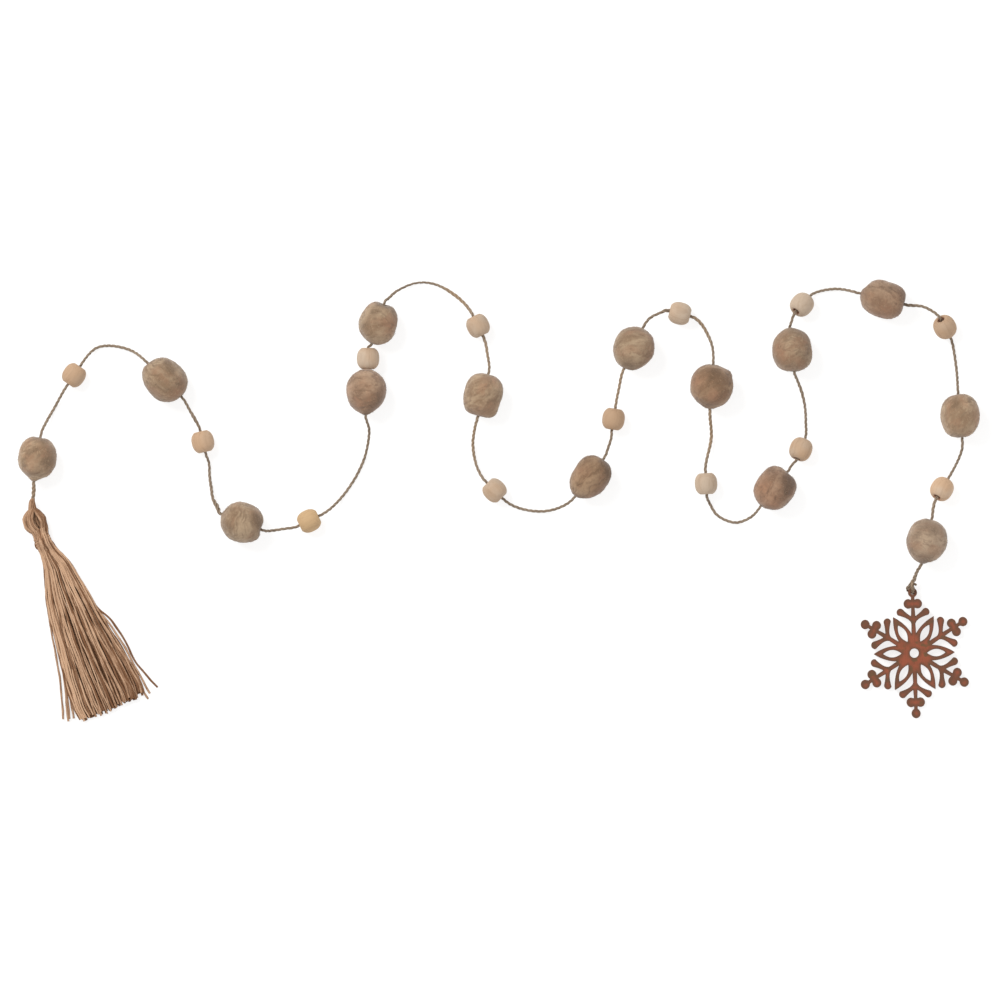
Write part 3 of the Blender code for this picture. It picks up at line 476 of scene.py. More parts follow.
def stored(tree, geometry, name, value, data_type="FLOAT", domain="POINT"):
    inputs = {"Geometry": geometry, "Name": name, "Value": value}
    return add_geometry(tree, "StoreNamedAttribute", inputs, data_type=data_type, domain=domain)


def new_tree(name, sizes):
    """An empty geometry tree and its inputs: the geometry, then a number or a material under each name."""
    tree = bpy.data.node_groups.new(name, "GeometryNodeTree")
    kinds = {float: "Float", int: "Int", type(None): "Material"}
    tree.interface.new_socket("Geometry", in_out="INPUT", socket_type="NodeSocketGeometry")
    for label, default in sizes.items():
        socket = tree.interface.new_socket(label, in_out="INPUT", socket_type="NodeSocket" + kinds[type(default)])
        if default is not None:
            socket.default_value = default
    tree.interface.new_socket("Geometry", in_out="OUTPUT", socket_type="NodeSocketGeometry")
    return tree, {socket.name: Value(socket) for socket in tree.nodes.new("NodeGroupInput").outputs}


def close_tree(tree, *parts):
    """Joins the parts as what the tree gives out."""
    joined = add_geometry(tree, "JoinGeometry", {0: list(parts)})
    add(tree, "NodeGroupOutput", {0: add_geometry(tree, "RealizeInstances", {"Geometry": joined})})
    return tree


# Object helpers


def placed(name, data, place=(0.0, 0.0, 0.0)):
    data.name = name
    obj = bpy.data.objects.new(name, data)
    obj.location = place
    bpy.context.scene.collection.objects.link(obj)
    return obj


def new_mesh(name, places, faces, notes, edges=()):
    """A mesh with notes on its vertices, each a list of numbers or vectors, or one number for all."""
    mesh = bpy.data.meshes.new(name)
    mesh.from_pydata(places, edges, faces)
    for label, values in notes.items():
        values = np.array(values, np.float32)
        if not values.ndim:
            values = np.full(len(places), values)
        kind, part = ("FLOAT_VECTOR", "vector") if values.ndim == 2 else ("FLOAT", "value")
        mesh.attributes.new(label, kind, "POINT").data.foreach_set(part, values.ravel())
    return mesh


def run_tree(mesh, tree, values, name):
    """Runs a geometry tree on a mesh and keeps the result as a plain mesh object, pressed up by the surface."""
    source = placed(mesh.name, mesh)
    modifier = source.modifiers.new(tree.name, "NODES")
    modifier.node_group = tree
    for item in tree.interface.items_tree:
        if item.in_out == "INPUT" and item.name in values:
            modifier[item.identifier] = values[item.name]
    bpy.context.view_layer.update()
    graph = bpy.context.evaluated_depsgraph_get()
    made = bpy.data.meshes.new_from_object(source.evaluated_get(graph))
    source.modifiers.clear()
    bpy.data.objects.remove(source, do_unlink=True)
    places = np.empty(len(made.vertices) * 3, np.float32)
    made.vertices.foreach_get("co", places)
    places[2::3] = np.maximum(places[2::3], 0.0)
    made.vertices.foreach_set("co", places)
    made.update()
    return placed(name, made)


def fit(obj, slot, *nodes):
    """The piece rides on the one body, in place of these nodes."""
    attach(obj, "root")
    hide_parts(*nodes)
    return obj


# Places


def on_surface(x, y, height=0.0):
    """The place over pixel x, y of the photograph, at a height over the surface."""
    return Vector(((x - MIDDLE_X) * PIXEL, (MIDDLE_Y - y) * PIXEL, height))


def traced(points):
    """Places from pixel x, pixel y and height in millimetres."""
    return [on_surface(x, y, height / 1000) for x, y, height in points]


def direction(heading, pitch=0.0):
    heading = math.radians(heading)
    pitch = math.radians(pitch)
    level = math.cos(pitch)
    return Vector((level * math.cos(heading), level * math.sin(heading), math.sin(pitch)))


def smooth(points, step, start=None, end=None):
    """Points read every step or so from a smooth curve through the given ones."""
    points = [Vector(point) for point in points]
    lengths = [(b - a).length for a, b in zip(points, points[1:])]
    slopes = [(b - a) / (before + after) for a, b, before, after in zip(points, points[2:], lengths, lengths[1:])]
    slopes.insert(0, start or (points[1] - points[0]).normalized())
    slopes.append(end or (points[-1] - points[-2]).normalized())
    route = points[:1]
    for a, b, length, leaving, arriving in zip(points, points[1:], lengths, slopes, slopes[1:]):
        count = max(1, round(length / step))
        for t in (number / count for number in range(1, count + 1)):
            route.append(a * (2 * t**3 - 3 * t**2 + 1) + leaving * (length * (t**3 - 2 * t**2 + t))
                         + b * (3 * t**2 - 2 * t**3) + arriving * (length * (t**3 - t**2)))
    return route


def superellipse(half_length, radius, fullness, end_radius, rings):
    """Radius and height pairs down the outer side of a ball or bead."""
    power = 2.0 / fullness
    first = math.asin((end_radius / radius) ** (1.0 / power))
    profile = []
    for ring in range(rings + 1):
        turn = first + (math.pi - 2 * first) * ring / rings
        height = half_length * math.copysign(abs(math.cos(turn)) ** power, math.cos(turn))
        profile.append([radius * math.sin(turn) ** power, height])
    return profile


def felt_profile(ball, end_radius, rings):
    half_length = ball.length * PIXEL / 2
    profile = superellipse(half_length, ball.width * PIXEL / 2, ball.fullness, end_radius, rings)
    for point in profile[1:-1]:
        point[0] *= 1.0 + ball.taper * point[1] / half_length
    return profile


def felt_middle(ball):
    tilt = math.radians(ball.pitch)
    profile = felt_profile(ball, FELT_BORE_RADIUS, FELT_PROFILE_RINGS)
    reach = max(radius * math.cos(tilt) + abs(height * math.sin(tilt)) for radius, height in profile)
    return on_surface(ball.x, ball.y, reach - FELT_FLAT)


def bore_ends(middle, axis, half_length):
    """Where the twine goes in and comes out straight, and which way it runs."""
    reach = axis * (half_length + MOUTH_REACH)
    return middle - reach, middle + reach, axis


def twine_route(step):
    """The twine's middle line from the tassel's knot to the snowflake's knot, straight in every bore."""
    bores = []
    for ball, bead in zip(FELT_BALLS, [*WOOD_BEADS, None]):
        bores.append(bore_ends(felt_middle(ball), direction(ball.heading, ball.pitch), ball.length * PIXEL / 2))
        if bead:
            middle = on_surface(bead.x, bead.y, bead.height)
            bores.append(bore_ends(middle, direction(bead.heading, bead.pitch), BEAD_LENGTH / 2))
    route = []
    behind = None
    for stretch, ahead in zip(STRETCHES, [*bores, None]):
        points = traced(stretch)
        if behind:
            points.insert(0, behind[1])
        if ahead:
            points.append(ahead[0])
        route += smooth(points, step, behind and behind[2], ahead and ahead[2])
        behind = ahead
    for point in route:
        point.z = max(point.z, TWINE_RADIUS)
    return route


# Camera, light and floor

CAMERA_HEIGHT = 9.0
EXACT_LEVEL = 0.010  # the height at which the frame is exact
SENSOR = 36.0
LAMP_SIZE = 1.6
FLOOR_HALF = 60.0


def camera():
    """A long lens straight over the middle of the photograph's frame."""
    lens = bpy.data.cameras.new("camera")
    lens.sensor_width = SENSOR
    lens.lens = SENSOR * (CAMERA_HEIGHT - EXACT_LEVEL) / (PICTURE_SIDE * PIXEL)
    lens.clip_end = 12 * CAMERA_HEIGHT
    place = on_surface(PICTURE_SIDE / 2, PICTURE_SIDE / 2, CAMERA_HEIGHT)
    bpy.context.scene.camera = placed("camera", lens, place)


def area_light(name, place, power, colour):
    lamp = bpy.data.lights.new(name, "AREA")
    lamp.shape = "DISK"
    lamp.size = LAMP_SIZE
    lamp.energy = power
    lamp.color = colour
    placed(name, lamp, place).rotation_euler = (-Vector(place)).to_track_quat("-Z", "Y").to_euler()


def principled(name, inputs):
    material = bpy.data.materials.new(name)
    material.use_nodes = True
    for label, value in inputs.items():
        material.node_tree.nodes["Principled BSDF"].inputs[label].default_value = value
    return material


def studio():
    """Soft light from the upper left, a pale all-round light and a plain white floor."""
    scene = bpy.context.scene
    scene.view_settings.view_transform = "Standard"
    scene.world = bpy.data.worlds.new("studio")
    scene.world.use_nodes = True
    background = scene.world.node_tree.nodes["Background"].inputs
    background["Color"].default_value = (1.0, 0.99, 0.98, 1.0)
    background["Strength"].default_value = 0.62
    area_light("window", (-1.5, 1.4, 2.2), 62.0, (1.0, 0.985, 0.96))
    area_light("fill", (1.6, -0.9, 1.8), 10.0, (0.96, 0.98, 1.0))

    mesh = bpy.data.meshes.new("floor")
    work = bmesh.new()
    bmesh.ops.create_grid(work, x_segments=2, y_segments=2, size=FLOOR_HALF)
    work.to_mesh(mesh)
    work.free()
    mesh.materials.append(principled("white_card", {
        "Base Color": (0.35, 0.35, 0.35, 1.0), "Roughness": 0.9, "Emission Color": (1.0, 1.0, 1.0, 1.0),
        "Emission Strength": 0.74}))
    placed("floor", mesh, (0.0, 0.0, -0.0002))


# Finishes


class Finish:
    """A Principled material in the making."""

    def __init__(self, name, roughness, sheen=0.0, tint=(1.0, 1.0, 1.0)):
        self.material = principled(name, {
            "Roughness": roughness, "Specular IOR Level": 0.25, "Sheen Weight": sheen, "Sheen Roughness": 0.5,
            "Sheen Tint": (*tint, 1.0)})
        self.tree = self.material.node_tree

    def note(self, name, output="Fac"):
        """What the mesh notes under this name."""
        return add(self.tree, "ShaderNodeAttribute", attribute_name=name).of(output)

    def done(self, colour, relief=None, height=0.0003, strength=0.7):
        """The material with its colour, and with a relief of that height."""
        shader = self.tree.nodes["Principled BSDF"].inputs
        self.tree.links.new(colour.socket, shader["Base Color"])
        if relief:
            bump = add(self.tree, "ShaderNodeBump", {"Height": relief, "Distance": height, "Strength": strength})
            self.tree.links.new(bump.socket, shader["Normal"])
        return self.material


def times(colour, factor):
    return tuple(min(1.0, factor * part) for part in colour)


def wool_finish(name, light, dark):
    """Heathered wool: broad soft clouds, swirled light and brown fibres, painted shade in the creases, and darker
    flecks.
    """
    finish = Finish(name, 0.96, 0.32, (0.88, 0.90, 0.95))
    place = finish.note("wool", "Vector")
    swirl = place.warped(80.0, 0.008)
    streak = swirl.stretched(0.22, 1, 1).noise(420.0, 5.0, 0.6)
    cloud = swirl.stretched(0.5, 1, 1).noise(85.0)
    colour = (streak * 0.42 + cloud * 0.58).ramp(0.40, 0.60).mix(dark, light)
    bark = swirl.stretched(0.16, 1, 1).noise(240.0, 3.0, 0.6)
    colour = (bark.ramp(0.54, 0.66) * 0.6).mix(colour, times(dark, 0.75))
    russet = place.noise(110.0, 1.0).ramp(0.48, 0.70) * 0.35
    colour = (russet + finish.note("red") * 1.2).clamped().mix(colour, WOOL_RUSSET)
    # The dark note holds the wool's darker patches and the painted shade round the mouths.
    patches_and_mouth_shade = finish.note("dark") + streak
    colour = (patches_and_mouth_shade.ramp(0.50, 1.05) * 0.9).mix(colour, times(dark, 0.7))
    fleck = swirl.stretched(0.3, 1, 1).noise(1500.0)
    colour = (fleck.ramp(0.56, 0.70) * 0.4).mix(colour, dark)
    pale = swirl.stretched(1, 0.3, 0.6).noise(1300.0)
    colour = (pale.ramp(0.58, 0.72) * 0.3).mix(colour, times(light, 1.3))
    # Painted shade in the creases that the skin tree presses in.
    colour = (finish.note("crease") * 0.5).mix(colour, times(dark, 0.6))
    fibres = swirl.stretched(0.35, 1, 1).noise(2000.0, 4.0, 0.7)
    return finish.done(colour.scaled(finish.note("shade")), fibres)


def fibre_finish(name, light, dark):
    """Loose fibres, each with its own tone."""
    finish = Finish(name, 0.9, 0.2, (1.0, 0.95, 0.88))
    return finish.done(finish.note("tone").mix(dark, light))


def yarn_finish(name, light, dark, warm, side_dark, groove):
    """Twisted bast yarn: fine fibres along each ply, tone by strand, painted shade on the strands' sides, dark flecks
    of bark.
    """
    finish = Finish(name, 0.82, 0.08, (1.0, 0.9, 0.75))
    strand = finish.note("strand", "Vector")
    tone = finish.note("tone")
    fibre = strand.stretched(1, 1, 0.1).noise(5.0, 4.0, 0.65)
    slow = strand.stretched(0.25, 0.25, 0.08).noise(2.2, 3.0)
    blend = fibre * 0.55 + slow * 0.45 + (tone - 0.5) * 0.3
    colour = blend.ramp(0.32, 0.68).mix(dark, light)
    # Painted shade: each strand is darkened towards the dark tone on its sides, where its surface turns away from
    # upward, by as much as its line asks.
    normal = add(finish.tree, "ShaderNodeNewGeometry").of("Normal")
    upward = add(finish.tree, "ShaderNodeSeparateXYZ", {0: normal}).of(2)
    side = 1.0 - upward.ramp(side_dark - 0.65, side_dark)
    colour = (side * (finish.note("groove") * groove)).mix(colour, dark)
    colour = (tone.ramp(0.55, 1.0) * 0.55).mix(colour, warm)
    bark = strand.stretched(1, 1, 0.35).noise(2.6, 1.0)
    colour = (bark.ramp(0.66, 0.76) * 0.6).mix(colour, times(dark, 0.6))
    return finish.done(colour, fibre)


def bead_finish():
    """Raw turned wood: pale, with fine pores along the bore, a warmer side, and painted shade in the drilled hole: a
    darker rim and a brown wall.
    """
    finish = Finish("raw_turned_wood", 0.62)
    grain = finish.note("grain", "Vector")
    tone = finish.note("tone")
    bore_shade = finish.note("bore_shade")
    bend = grain.warped(60.0, 0.0016)
    warmth = grain.noise(75.0, 1.0) * 0.9 + (tone - 0.55)
    colour = warmth.ramp(0.15, 0.75).mix(WOOD_LIGHT, WOOD_WARM)
    colour = (tone - 1.0).clamped().mix(colour, WOOD_HONEY)
    rings = bend.stretched(1, 0.35, 0.06).noise(650.0, 3.0, 0.55)
    colour = (rings.ramp(0.46, 0.74) * 0.28).mix(colour, WOOD_PORE)
    pores = bend.stretched(1, 1, 0.1).noise(2600.0)
    colour = (pores.ramp(0.60, 0.72) * 0.28).mix(colour, WOOD_PORE)
    # Painted shade in the bore: darker at its rim, brown on its wall.
    colour = (bore_shade.ramp(0.0, 0.5) * 0.6).mix(colour, BORE_RIM_SHADE)
    colour = bore_shade.ramp(0.35, 1.0).mix(colour, BORE_WALL_SHADE)
    return finish.done(colour.scaled(finish.note("shade")), pores, 0.00012, 0.5)


def stain_finish():
    """Terracotta stain on cut board: mottled, with grain, scorched at every cut edge."""
    finish = Finish("terracotta_stained_board", 0.66)
    place = add(finish.tree, "ShaderNodeTexCoord").of("Object")
    grain = place.stretched(1, 0.16, 1).noise(900.0, 4.0, 0.6)
    patch = place.noise(105.0, 3.0, 0.6)
    colour = patch.ramp(0.40, 0.68).mix(STAIN_FACE, STAIN_PATCH)
    colour = (grain.ramp(0.45, 0.75) * 0.35).mix(colour, STAIN_DARK)
    colour = (place.noise(190.0, 1.0).ramp(0.56, 0.70) * 0.8).mix(colour, STAIN_OLIVE)
    scorch = finish.note("scorch") + (patch - 0.5)
    colour = (scorch.ramp(0.0, 1.0) * 0.85).mix(colour, SCORCH)
    return finish.done(colour, grain, 0.00012, 0.5)


# Trees that grow the fibres, the plies and the wool's skin


def fibre_nodes(tree, surface, inputs, lift):
    """Short bent fibres scattered over a surface, lying along it, as a mesh."""
    node = partial(add_geometry, tree)
    length = inputs["Fibre Length"]
    seed = inputs["Seed"]
    arc = node("CurveArc", {"Resolution": 5, "Radius": length, "Start Angle": math.radians(60),
                            "Sweep Angle": math.radians(60)})
    drop = add(tree, "ShaderNodeCombineXYZ", {1: length * -1.0})
    arc = node("Transform", {"Geometry": arc, "Translation": drop})
    ring = node("CurvePrimitiveCircle", {"Resolution": 3, "Radius": inputs["Fibre Radius"]})
    hair = node("CurveToMesh", {"Curve": arc, "Profile Curve": ring})
    spots = node("DistributePointsOnFaces", {"Mesh": surface, "Density": inputs["Fibre Density"], "Seed": seed})
    swing = add(tree, "FunctionNodeRandomValue", {0: (-lift, -lift, -math.pi), 1: (lift, lift, math.pi),
                                                  "Seed": seed}, data_type="FLOAT_VECTOR")
    swing = add(tree, "FunctionNodeEulerToRotation", {0: swing})
    aim = add(tree, "FunctionNodeRotateRotation", {0: spots.of("Rotation"), 1: swing}, rotation_space="LOCAL")
    size, tone = (add(tree, "FunctionNodeRandomValue", {2: low, 3: high, "Seed": seed}, data_type="FLOAT").of(1)
                  for low, high in ((0.5, 1.4), (0.0, 1.0)))
    hairs = node("InstanceOnPoints", {"Points": spots, "Instance": hair, "Rotation": aim, "Scale": size})
    hairs = stored(tree, hairs, "tone", tone, domain="INSTANCE")
    hairs = node("RealizeInstances", {"Geometry": hairs})
    return node("SetMaterial", {"Geometry": hairs, "Material": inputs["Fibres"]})


def wool_skin_tree():
    """Turns a smooth ball into felted wool: swirled creases, a fine relief and loose fibres."""
    tree, inputs = new_tree("felted_wool", {
        "Crease Depth": 0.00028, "Relief Height": 0.00036, "Fibre Density": 230000.0, "Fibre Length": 0.0034,
        "Fibre Radius": 0.000045, "Seed": 0, "Skin": None, "Fibres": None})
    node = partial(add_geometry, tree)
    place = node("InputNamedAttribute", {"Name": "wool"}, data_type="FLOAT_VECTOR")
    lay = place.warped(80.0, 0.008).stretched(0.35, 1, 1)
    fold = (lay.noise(130.0, 1.5, 0.45) - 0.5).maths("ABSOLUTE")
    crease = (1.0 - fold.ramp(0.0, 0.045)) * place.noise(90.0, 1.0).ramp(0.45, 0.65)
    relief = lay.noise(330.0, 3.0, 0.55) - 0.5
    rise = relief * inputs["Relief Height"] - crease * inputs["Crease Depth"]
    moved = node("SetPosition", {"Geometry": inputs["Geometry"], "Offset": node("InputNormal").scaled(rise)})
    # The crease mask is also kept for the wool's painted shade in the creases.
    skin = stored(tree, moved, "crease", crease)
    skin = node("SetMaterial", {"Geometry": skin, "Material": inputs["Skin"]})
    return close_tree(tree, skin, fibre_nodes(tree, moved, inputs, 0.16))


def plied_yarn_tree(name, plies):
    """Lays plies round each line, thinner where the line's own thickness is less, with loose fibres on them."""
    tree, inputs = new_tree(name, {
        "Step": 0.0011, "Ply Radius": 0.00053, "Ply Offset": 0.00059, "Twist Length": 0.0115, "Unevenness": 0.42,
        "Ridge Height": 0.0001, "Sides": 6, "Fibre Density": 60000.0, "Fibre Length": 0.0019,
        "Fibre Radius": 0.000035, "Seed": 0, "Yarn": None, "Fibres": None})
    node = partial(add_geometry, tree)
    noted = partial(named_value, tree)
    line = node("MeshToCurve", {"Mesh": inputs["Geometry"]})
    line = node("ResampleCurve", {"Curve": line, "Length": inputs["Step"]}, mode="LENGTH")
    length = node("SplineParameter").of("Length")
    number = noted("number")
    at = add(tree, "ShaderNodeCombineXYZ", {0: number * 7.3, 2: length})
    swell = (at.noise(55.0, 3.0, 0.6) - 0.5) * inputs["Unevenness"] + 1.0
    size = noted("thick") * swell
    slip = at.noise(24.0, 1.0) * 0.9
    turn = (length.maths("DIVIDE", inputs["Twist Length"]) + slip) * math.tau + number * 2.4
    normal = node("InputNormal")
    aside = node("InputTangent").vector("CROSS_PRODUCT", normal)
    ring = node("CurvePrimitiveCircle", {"Resolution": inputs["Sides"], "Radius": inputs["Ply Radius"]})
    ring = stored(tree, ring, "around", node("SplineParameter").of("Factor"))
    line = stored(tree, stored(tree, line, "along", length), "swell", size)
    made = []
    for ply in range(plies):
        angle = turn + math.tau * ply / plies
        out = normal.scaled(angle.maths("COSINE")).vector("ADD", aside.scaled(angle.maths("SINE")))
        laid = node("SetPosition", {"Geometry": line, "Offset": out.scaled(inputs["Ply Offset"] * size)})
        tube = node("CurveToMesh", {"Curve": laid, "Profile Curve": ring, "Scale": noted("swell"),
                                    "Fill Caps": True})
        lap = noted("around") * math.tau
        strand = add(tree, "ShaderNodeCombineXYZ", {
            0: lap.maths("COSINE") + number * 3.7, 1: lap.maths("SINE") + 5.0 * ply, 2: noted("along") * 1000.0})
        tube = stored(tree, tube, "strand", strand, "FLOAT_VECTOR")
        ridges = (strand.stretched(1, 1, 0.06).noise(2.2, 1.0) - 0.5) * inputs["Ridge Height"]
        made.append(node("SetPosition", {"Geometry": tube, "Offset": node("InputNormal").scaled(ridges)}))
    plied = node("JoinGeometry", {0: made})
    yarn = node("SetMaterial", {"Geometry": plied, "Material": inputs["Yarn"]})
    yarn = node("SetShadeSmooth", {"Geometry": yarn})
    return close_tree(tree, yarn, fibre_nodes(tree, plied, inputs, 0.5))


# A line that the yarn trees thicken: its points, how thick against the yarn's own size and which tone, at each point
# or all along, and how much painted shade the strand's sides get
Line = namedtuple("Line", "points thick tone groove", defaults=[1.0])


def yarn_piece(name, lines, tree, values):
    """One piece of yarn along all these lines."""
    points = []
    edges = []
    notes = {"thick": [], "tone": [], "groove": [], "number": []}
    for number, line in enumerate(lines):
        first = len(points)
        points += [tuple(point) for point in line.points]
        edges += [(index, index + 1) for index in range(first, len(points) - 1)]
        for note, value in zip(notes.values(), [*line[1:], number]):
            note += value if isinstance(value, list) else [value] * len(line.points)
    return run_tree(new_mesh(name + "_lines", points, [], notes, edges), tree, values, name)


def twine(tree, yarn, fibres):
    """The one long twine, then the snowflake's loop and its knot with the cut end."""
    def of_twine(name, lines, seed, node):
        values = {"Seed": seed, "Yarn": yarn, "Fibres": fibres}
        return fit(yarn_piece(name, lines, tree, values), "twine", node)

    route = twine_route(TWINE_STEP)
    thick = [1.0] * len(route)
    tones = [0.5] * len(route)
    for x, y, more, tone, reach in SWELLS:
        for index, point in enumerate(route):
            away = (point - on_surface(x, y, point.z)).length / PIXEL
            near = math.exp(-0.5 * (away / reach) ** 2)
            thick[index] += more * near
            tones[index] += (tone - 0.5) * near
    cord = of_twine("twine_strung", [Line(route, thick, tones)], 11, "twine")

    across, along = hanging_hole()
    place = snowflake_matrix() @ Matrix.Translation((across * SNOWFLAKE_ACROSS, along, 0.0))
    knot = on_surface(*KNOT)
    points = smooth([knot, *(place @ (Vector(point) / 1000) for point in LOOP_POINTS), knot], TIE_STEP)
    for point in points:
        point.z = max(point.z, TWINE_RADIUS)
    hole = place.translation
    tones = [0.5 - HOLE_SHADE * math.exp(-(((point - hole).length / HOLE_REACH) ** 2)) for point in points]
    loop = of_twine("loop_through_snowflake", [Line(points, LOOP_THICKNESS, tones)], 12, "snowflake_loop")

    turns = []
    for t in (math.tau * index / KNOT_POINTS for index in range(KNOT_POINTS + 1)):
        turns.append(knot + KNOT_SPREAD * Vector((math.sin(t) + 2 * math.sin(2 * t),
                                                  math.cos(t) - 2 * math.cos(2 * t), -2.2 * math.sin(3 * t))))
    lines = [Line(turns, KNOT_THICKNESS, 0.35)]
    lines += [Line(smooth(traced(strand), TIE_STEP), thick, tone) for thick, tone, strand in TIE_STRANDS]
    tied = of_twine("overhand_knot", lines, 13, "snowflake_knot")


# Turned pieces


def band(upper, lower):
    """The faces between two rings of as many vertices."""
    return list(zip(upper, lower, lower[1:] + lower[:1], upper[1:] + upper[:1]))


def lathe(profile, sides):
    """Vertices and faces of a closed profile of (radius, height) turned round the Z axis."""
    angles = np.arange(sides) * (math.tau / sides)
    radii, heights = (np.array(values)[:, None] for values in zip(*profile))
    places = np.stack([radii * np.cos(angles), radii * np.sin(angles), np.repeat(heights, sides, axis=1)], axis=2)
    rings = [list(range(first, first + sides)) for first in range(0, len(profile) * sides, sides)]
    faces = [face for upper, lower in zip(rings, rings[1:] + rings[:1]) for face in band(upper, lower)]
    return places.reshape(-1, 3), faces


def even_profile(profile, count):
    """The same profile with points evenly spaced along it."""
    profile = np.array(profile)
    along = np.concatenate([[0.0], np.cumsum(np.hypot(*np.diff(profile, axis=0).T))])
    wanted = np.linspace(0.0, along[-1], count)
    return [[np.interp(at, along, profile[:, 0]), np.interp(at, along, profile[:, 1])] for at in wanted]


def laid_along(places, axis):
    """The places turned so that their Z axis lies along this one."""
    return places @ np.array(axis.to_track_quat("Z", "Y").to_matrix()).T


def turned_mesh(name, places, faces, middle, notes):
    """The turned shape, smooth, at its place and nowhere below the surface."""
    places = places + np.array(middle)
    places[:, 2] = np.maximum(places[:, 2], 0.0)
    mesh = new_mesh(name, places.tolist(), faces, notes)
    mesh.shade_smooth()
    return mesh


def nearness(ways, heading, pitch, spread):
    """1 for a way that points there, falling with the angle away from it."""
    angle = np.arccos(np.clip(ways @ np.array(direction(heading, pitch)), -1.0, 1.0))
    return np.exp(-0.5 * (angle / spread) ** 2)


def felt_ball(number, ball, tree, skin, fibres):
    """One felted ball: its own swell, nipples and dimples on a turned shape, then the wool's skin."""
    profile = even_profile(felt_profile(ball, MOUTH_RADIUS, 64), FELT_RINGS)
    inner = [[0.97 * MOUTH_RADIUS, profile[-1][1] + MOUTH_DEPTH], [0.97 * MOUTH_RADIUS, profile[0][1] - MOUTH_DEPTH]]
    places, faces = lathe(profile + inner, FELT_SIDES)

    radial = np.hypot(places[:, 0], places[:, 1])
    mouth_rise = np.exp(-0.5 * (radial / MOUTH_WIDTHS.get(number, MOUTH_WIDTH)) ** 2) / 1000
    mouths = list(zip((-1, 1), MOUTHS[number], (places[:, 2] < 0, places[:, 2] > 0)))
    for way, rise, half in mouths:
        places[:, 2] += mouth_rise * rise * way * half
    places = laid_along(places, direction(ball.heading, ball.pitch))
    ways = places / np.linalg.norm(places, axis=1)[:, None]
    rise = np.zeros(len(places))
    for heading, height, spread in SHAPINGS[number]:
        rise += height / 1000 * nearness(ways, heading, 0.0, spread)
    seed = Vector((number * 3.1, 0.0, 0.0))
    for index, way in enumerate(ways):
        rise[index] += LUMP_HEIGHT * noise.noise(Vector(way) * LUMP_SWELLS + seed)
    places += ways * (rise * np.clip((radial - MOUTH_RADIUS) / SHAPE_MARGIN, 0.0, 1.0))[:, None]
    dark = np.zeros(len(places))
    red = np.zeros(len(places))
    for heading, pitch, spread, darker, redder in PATCHES[number]:
        near = nearness(ways, heading, pitch, spread)
        dark += darker * near
        red += redder * near
    # Painted shade round each mouth of the bore, darker in a deep dimple.
    for _, rise, half in mouths:
        dark += np.exp(-0.5 * (radial / DIMPLE_SHADE) ** 2) * half * (0.9 if rise < -0.5 else 0.3)

    streaks = math.radians(STREAKS[number])
    draw = random.Random(number)
    shift = np.array([draw.uniform(-0.2, 0.2) for _ in range(3)])
    along = np.array([math.cos(streaks), math.sin(streaks), 0.15])
    along /= np.linalg.norm(along)
    upward = np.cross(along, (0.0, 0.0, 1.0))
    upward /= np.linalg.norm(upward)
    wool = places @ np.stack([along, upward, np.cross(upward, along)], axis=1) + shift

    name = f"felted_ball_{number:02d}"
    notes = {"wool": wool, "shade": ball.shade, "dark": dark, "red": red}
    mesh = turned_mesh(name + "_turned", places, faces, felt_middle(ball), notes)
    obj = run_tree(mesh, tree, {"Seed": number, "Skin": skin, "Fibres": fibres}, name)
    fit(obj, "felt", f"felt_ball_{number:02d}")


def wood_bead(number, bead, finish):
    """A drilled turned bead with eased rims."""
    power = 2.0 / BEAD_FULLNESS
    cut = math.cos(math.asin((BEAD_END_RADIUS / BEAD_RADIUS) ** (1.0 / power))) ** power
    half = BEAD_LENGTH / 2
    outer = even_profile(superellipse(half / cut, BEAD_RADIUS, BEAD_FULLNESS, BEAD_END_RADIUS, 48), BEAD_RINGS)
    bore = BEAD_BORE_RADIUS
    rim = [[bore + 2.6 * RIM_EASE, half], [bore + RIM_EASE, half - 0.1 * RIM_EASE], [bore, half - RIM_EASE]]
    wall = [[bore, height * half] for height in (-0.8, -0.5, 0.0, 0.5, 0.8)]
    places, faces = lathe(outer + [[radius, -height] for radius, height in rim] + wall + rim[::-1], BEAD_SIDES)
    radial = np.hypot(places[:, 0], places[:, 1])
    near_bore = np.clip(1.0 - (radial - bore) / (2.2 * RIM_EASE), 0.0, 1.0)
    inward = np.clip((half - np.abs(places[:, 2])) / (4 * RIM_EASE), 0.0, 1.0)
    draw = random.Random(100 + number)
    spin = np.array(Matrix.Rotation(draw.uniform(0.0, math.tau), 3, "Z"))
    grain = places + np.array([draw.uniform(-0.3, 0.3) for _ in range(3)])
    places = laid_along(places @ spin.T, direction(bead.heading, bead.pitch))
    name = f"turned_bead_{number:02d}"
    # Where the bore's painted shade falls: fullest on the wall inside, less at the rim.
    mesh = turned_mesh(name, places, faces, on_surface(bead.x, bead.y, bead.height), {
        "grain": grain, "bore_shade": near_bore * (0.45 + 0.55 * inward), "tone": bead.tone,
        "shade": BEAD_SHADES.get(number, 1.0)})
    mesh.materials.append(finish)
    fit(placed(name, mesh), "wood_bead", f"wood_bead_{number:02d}")


# The snowflake


def arc(across, along, radius, start, end, count):
    """Points on an arc about (across, along), from one angle to another in degrees."""
    angles = [math.radians(start + (end - start) * index / count) for index in range(count + 1)]
    return [(across + radius * math.cos(angle), along + radius * math.sin(angle)) for angle in angles]


def bow(start, pull, end, count):
    """Points on a simple bow from start to end, pulled towards a third point; its ends are left out."""
    return [tuple(a * (1 - t) ** 2 + b * 2 * t * (1 - t) + c * t**2 for a, b, c in zip(start, pull, end))
            for t in (index / count for index in range(1, count))]


def turned_by(points, degrees):
    turn = Matrix.Rotation(math.radians(degrees), 2)
    return [tuple(turn @ Vector(point)) for point in points]


def mirrored(points):
    return [(-across, along) for across, along in reversed(points)]


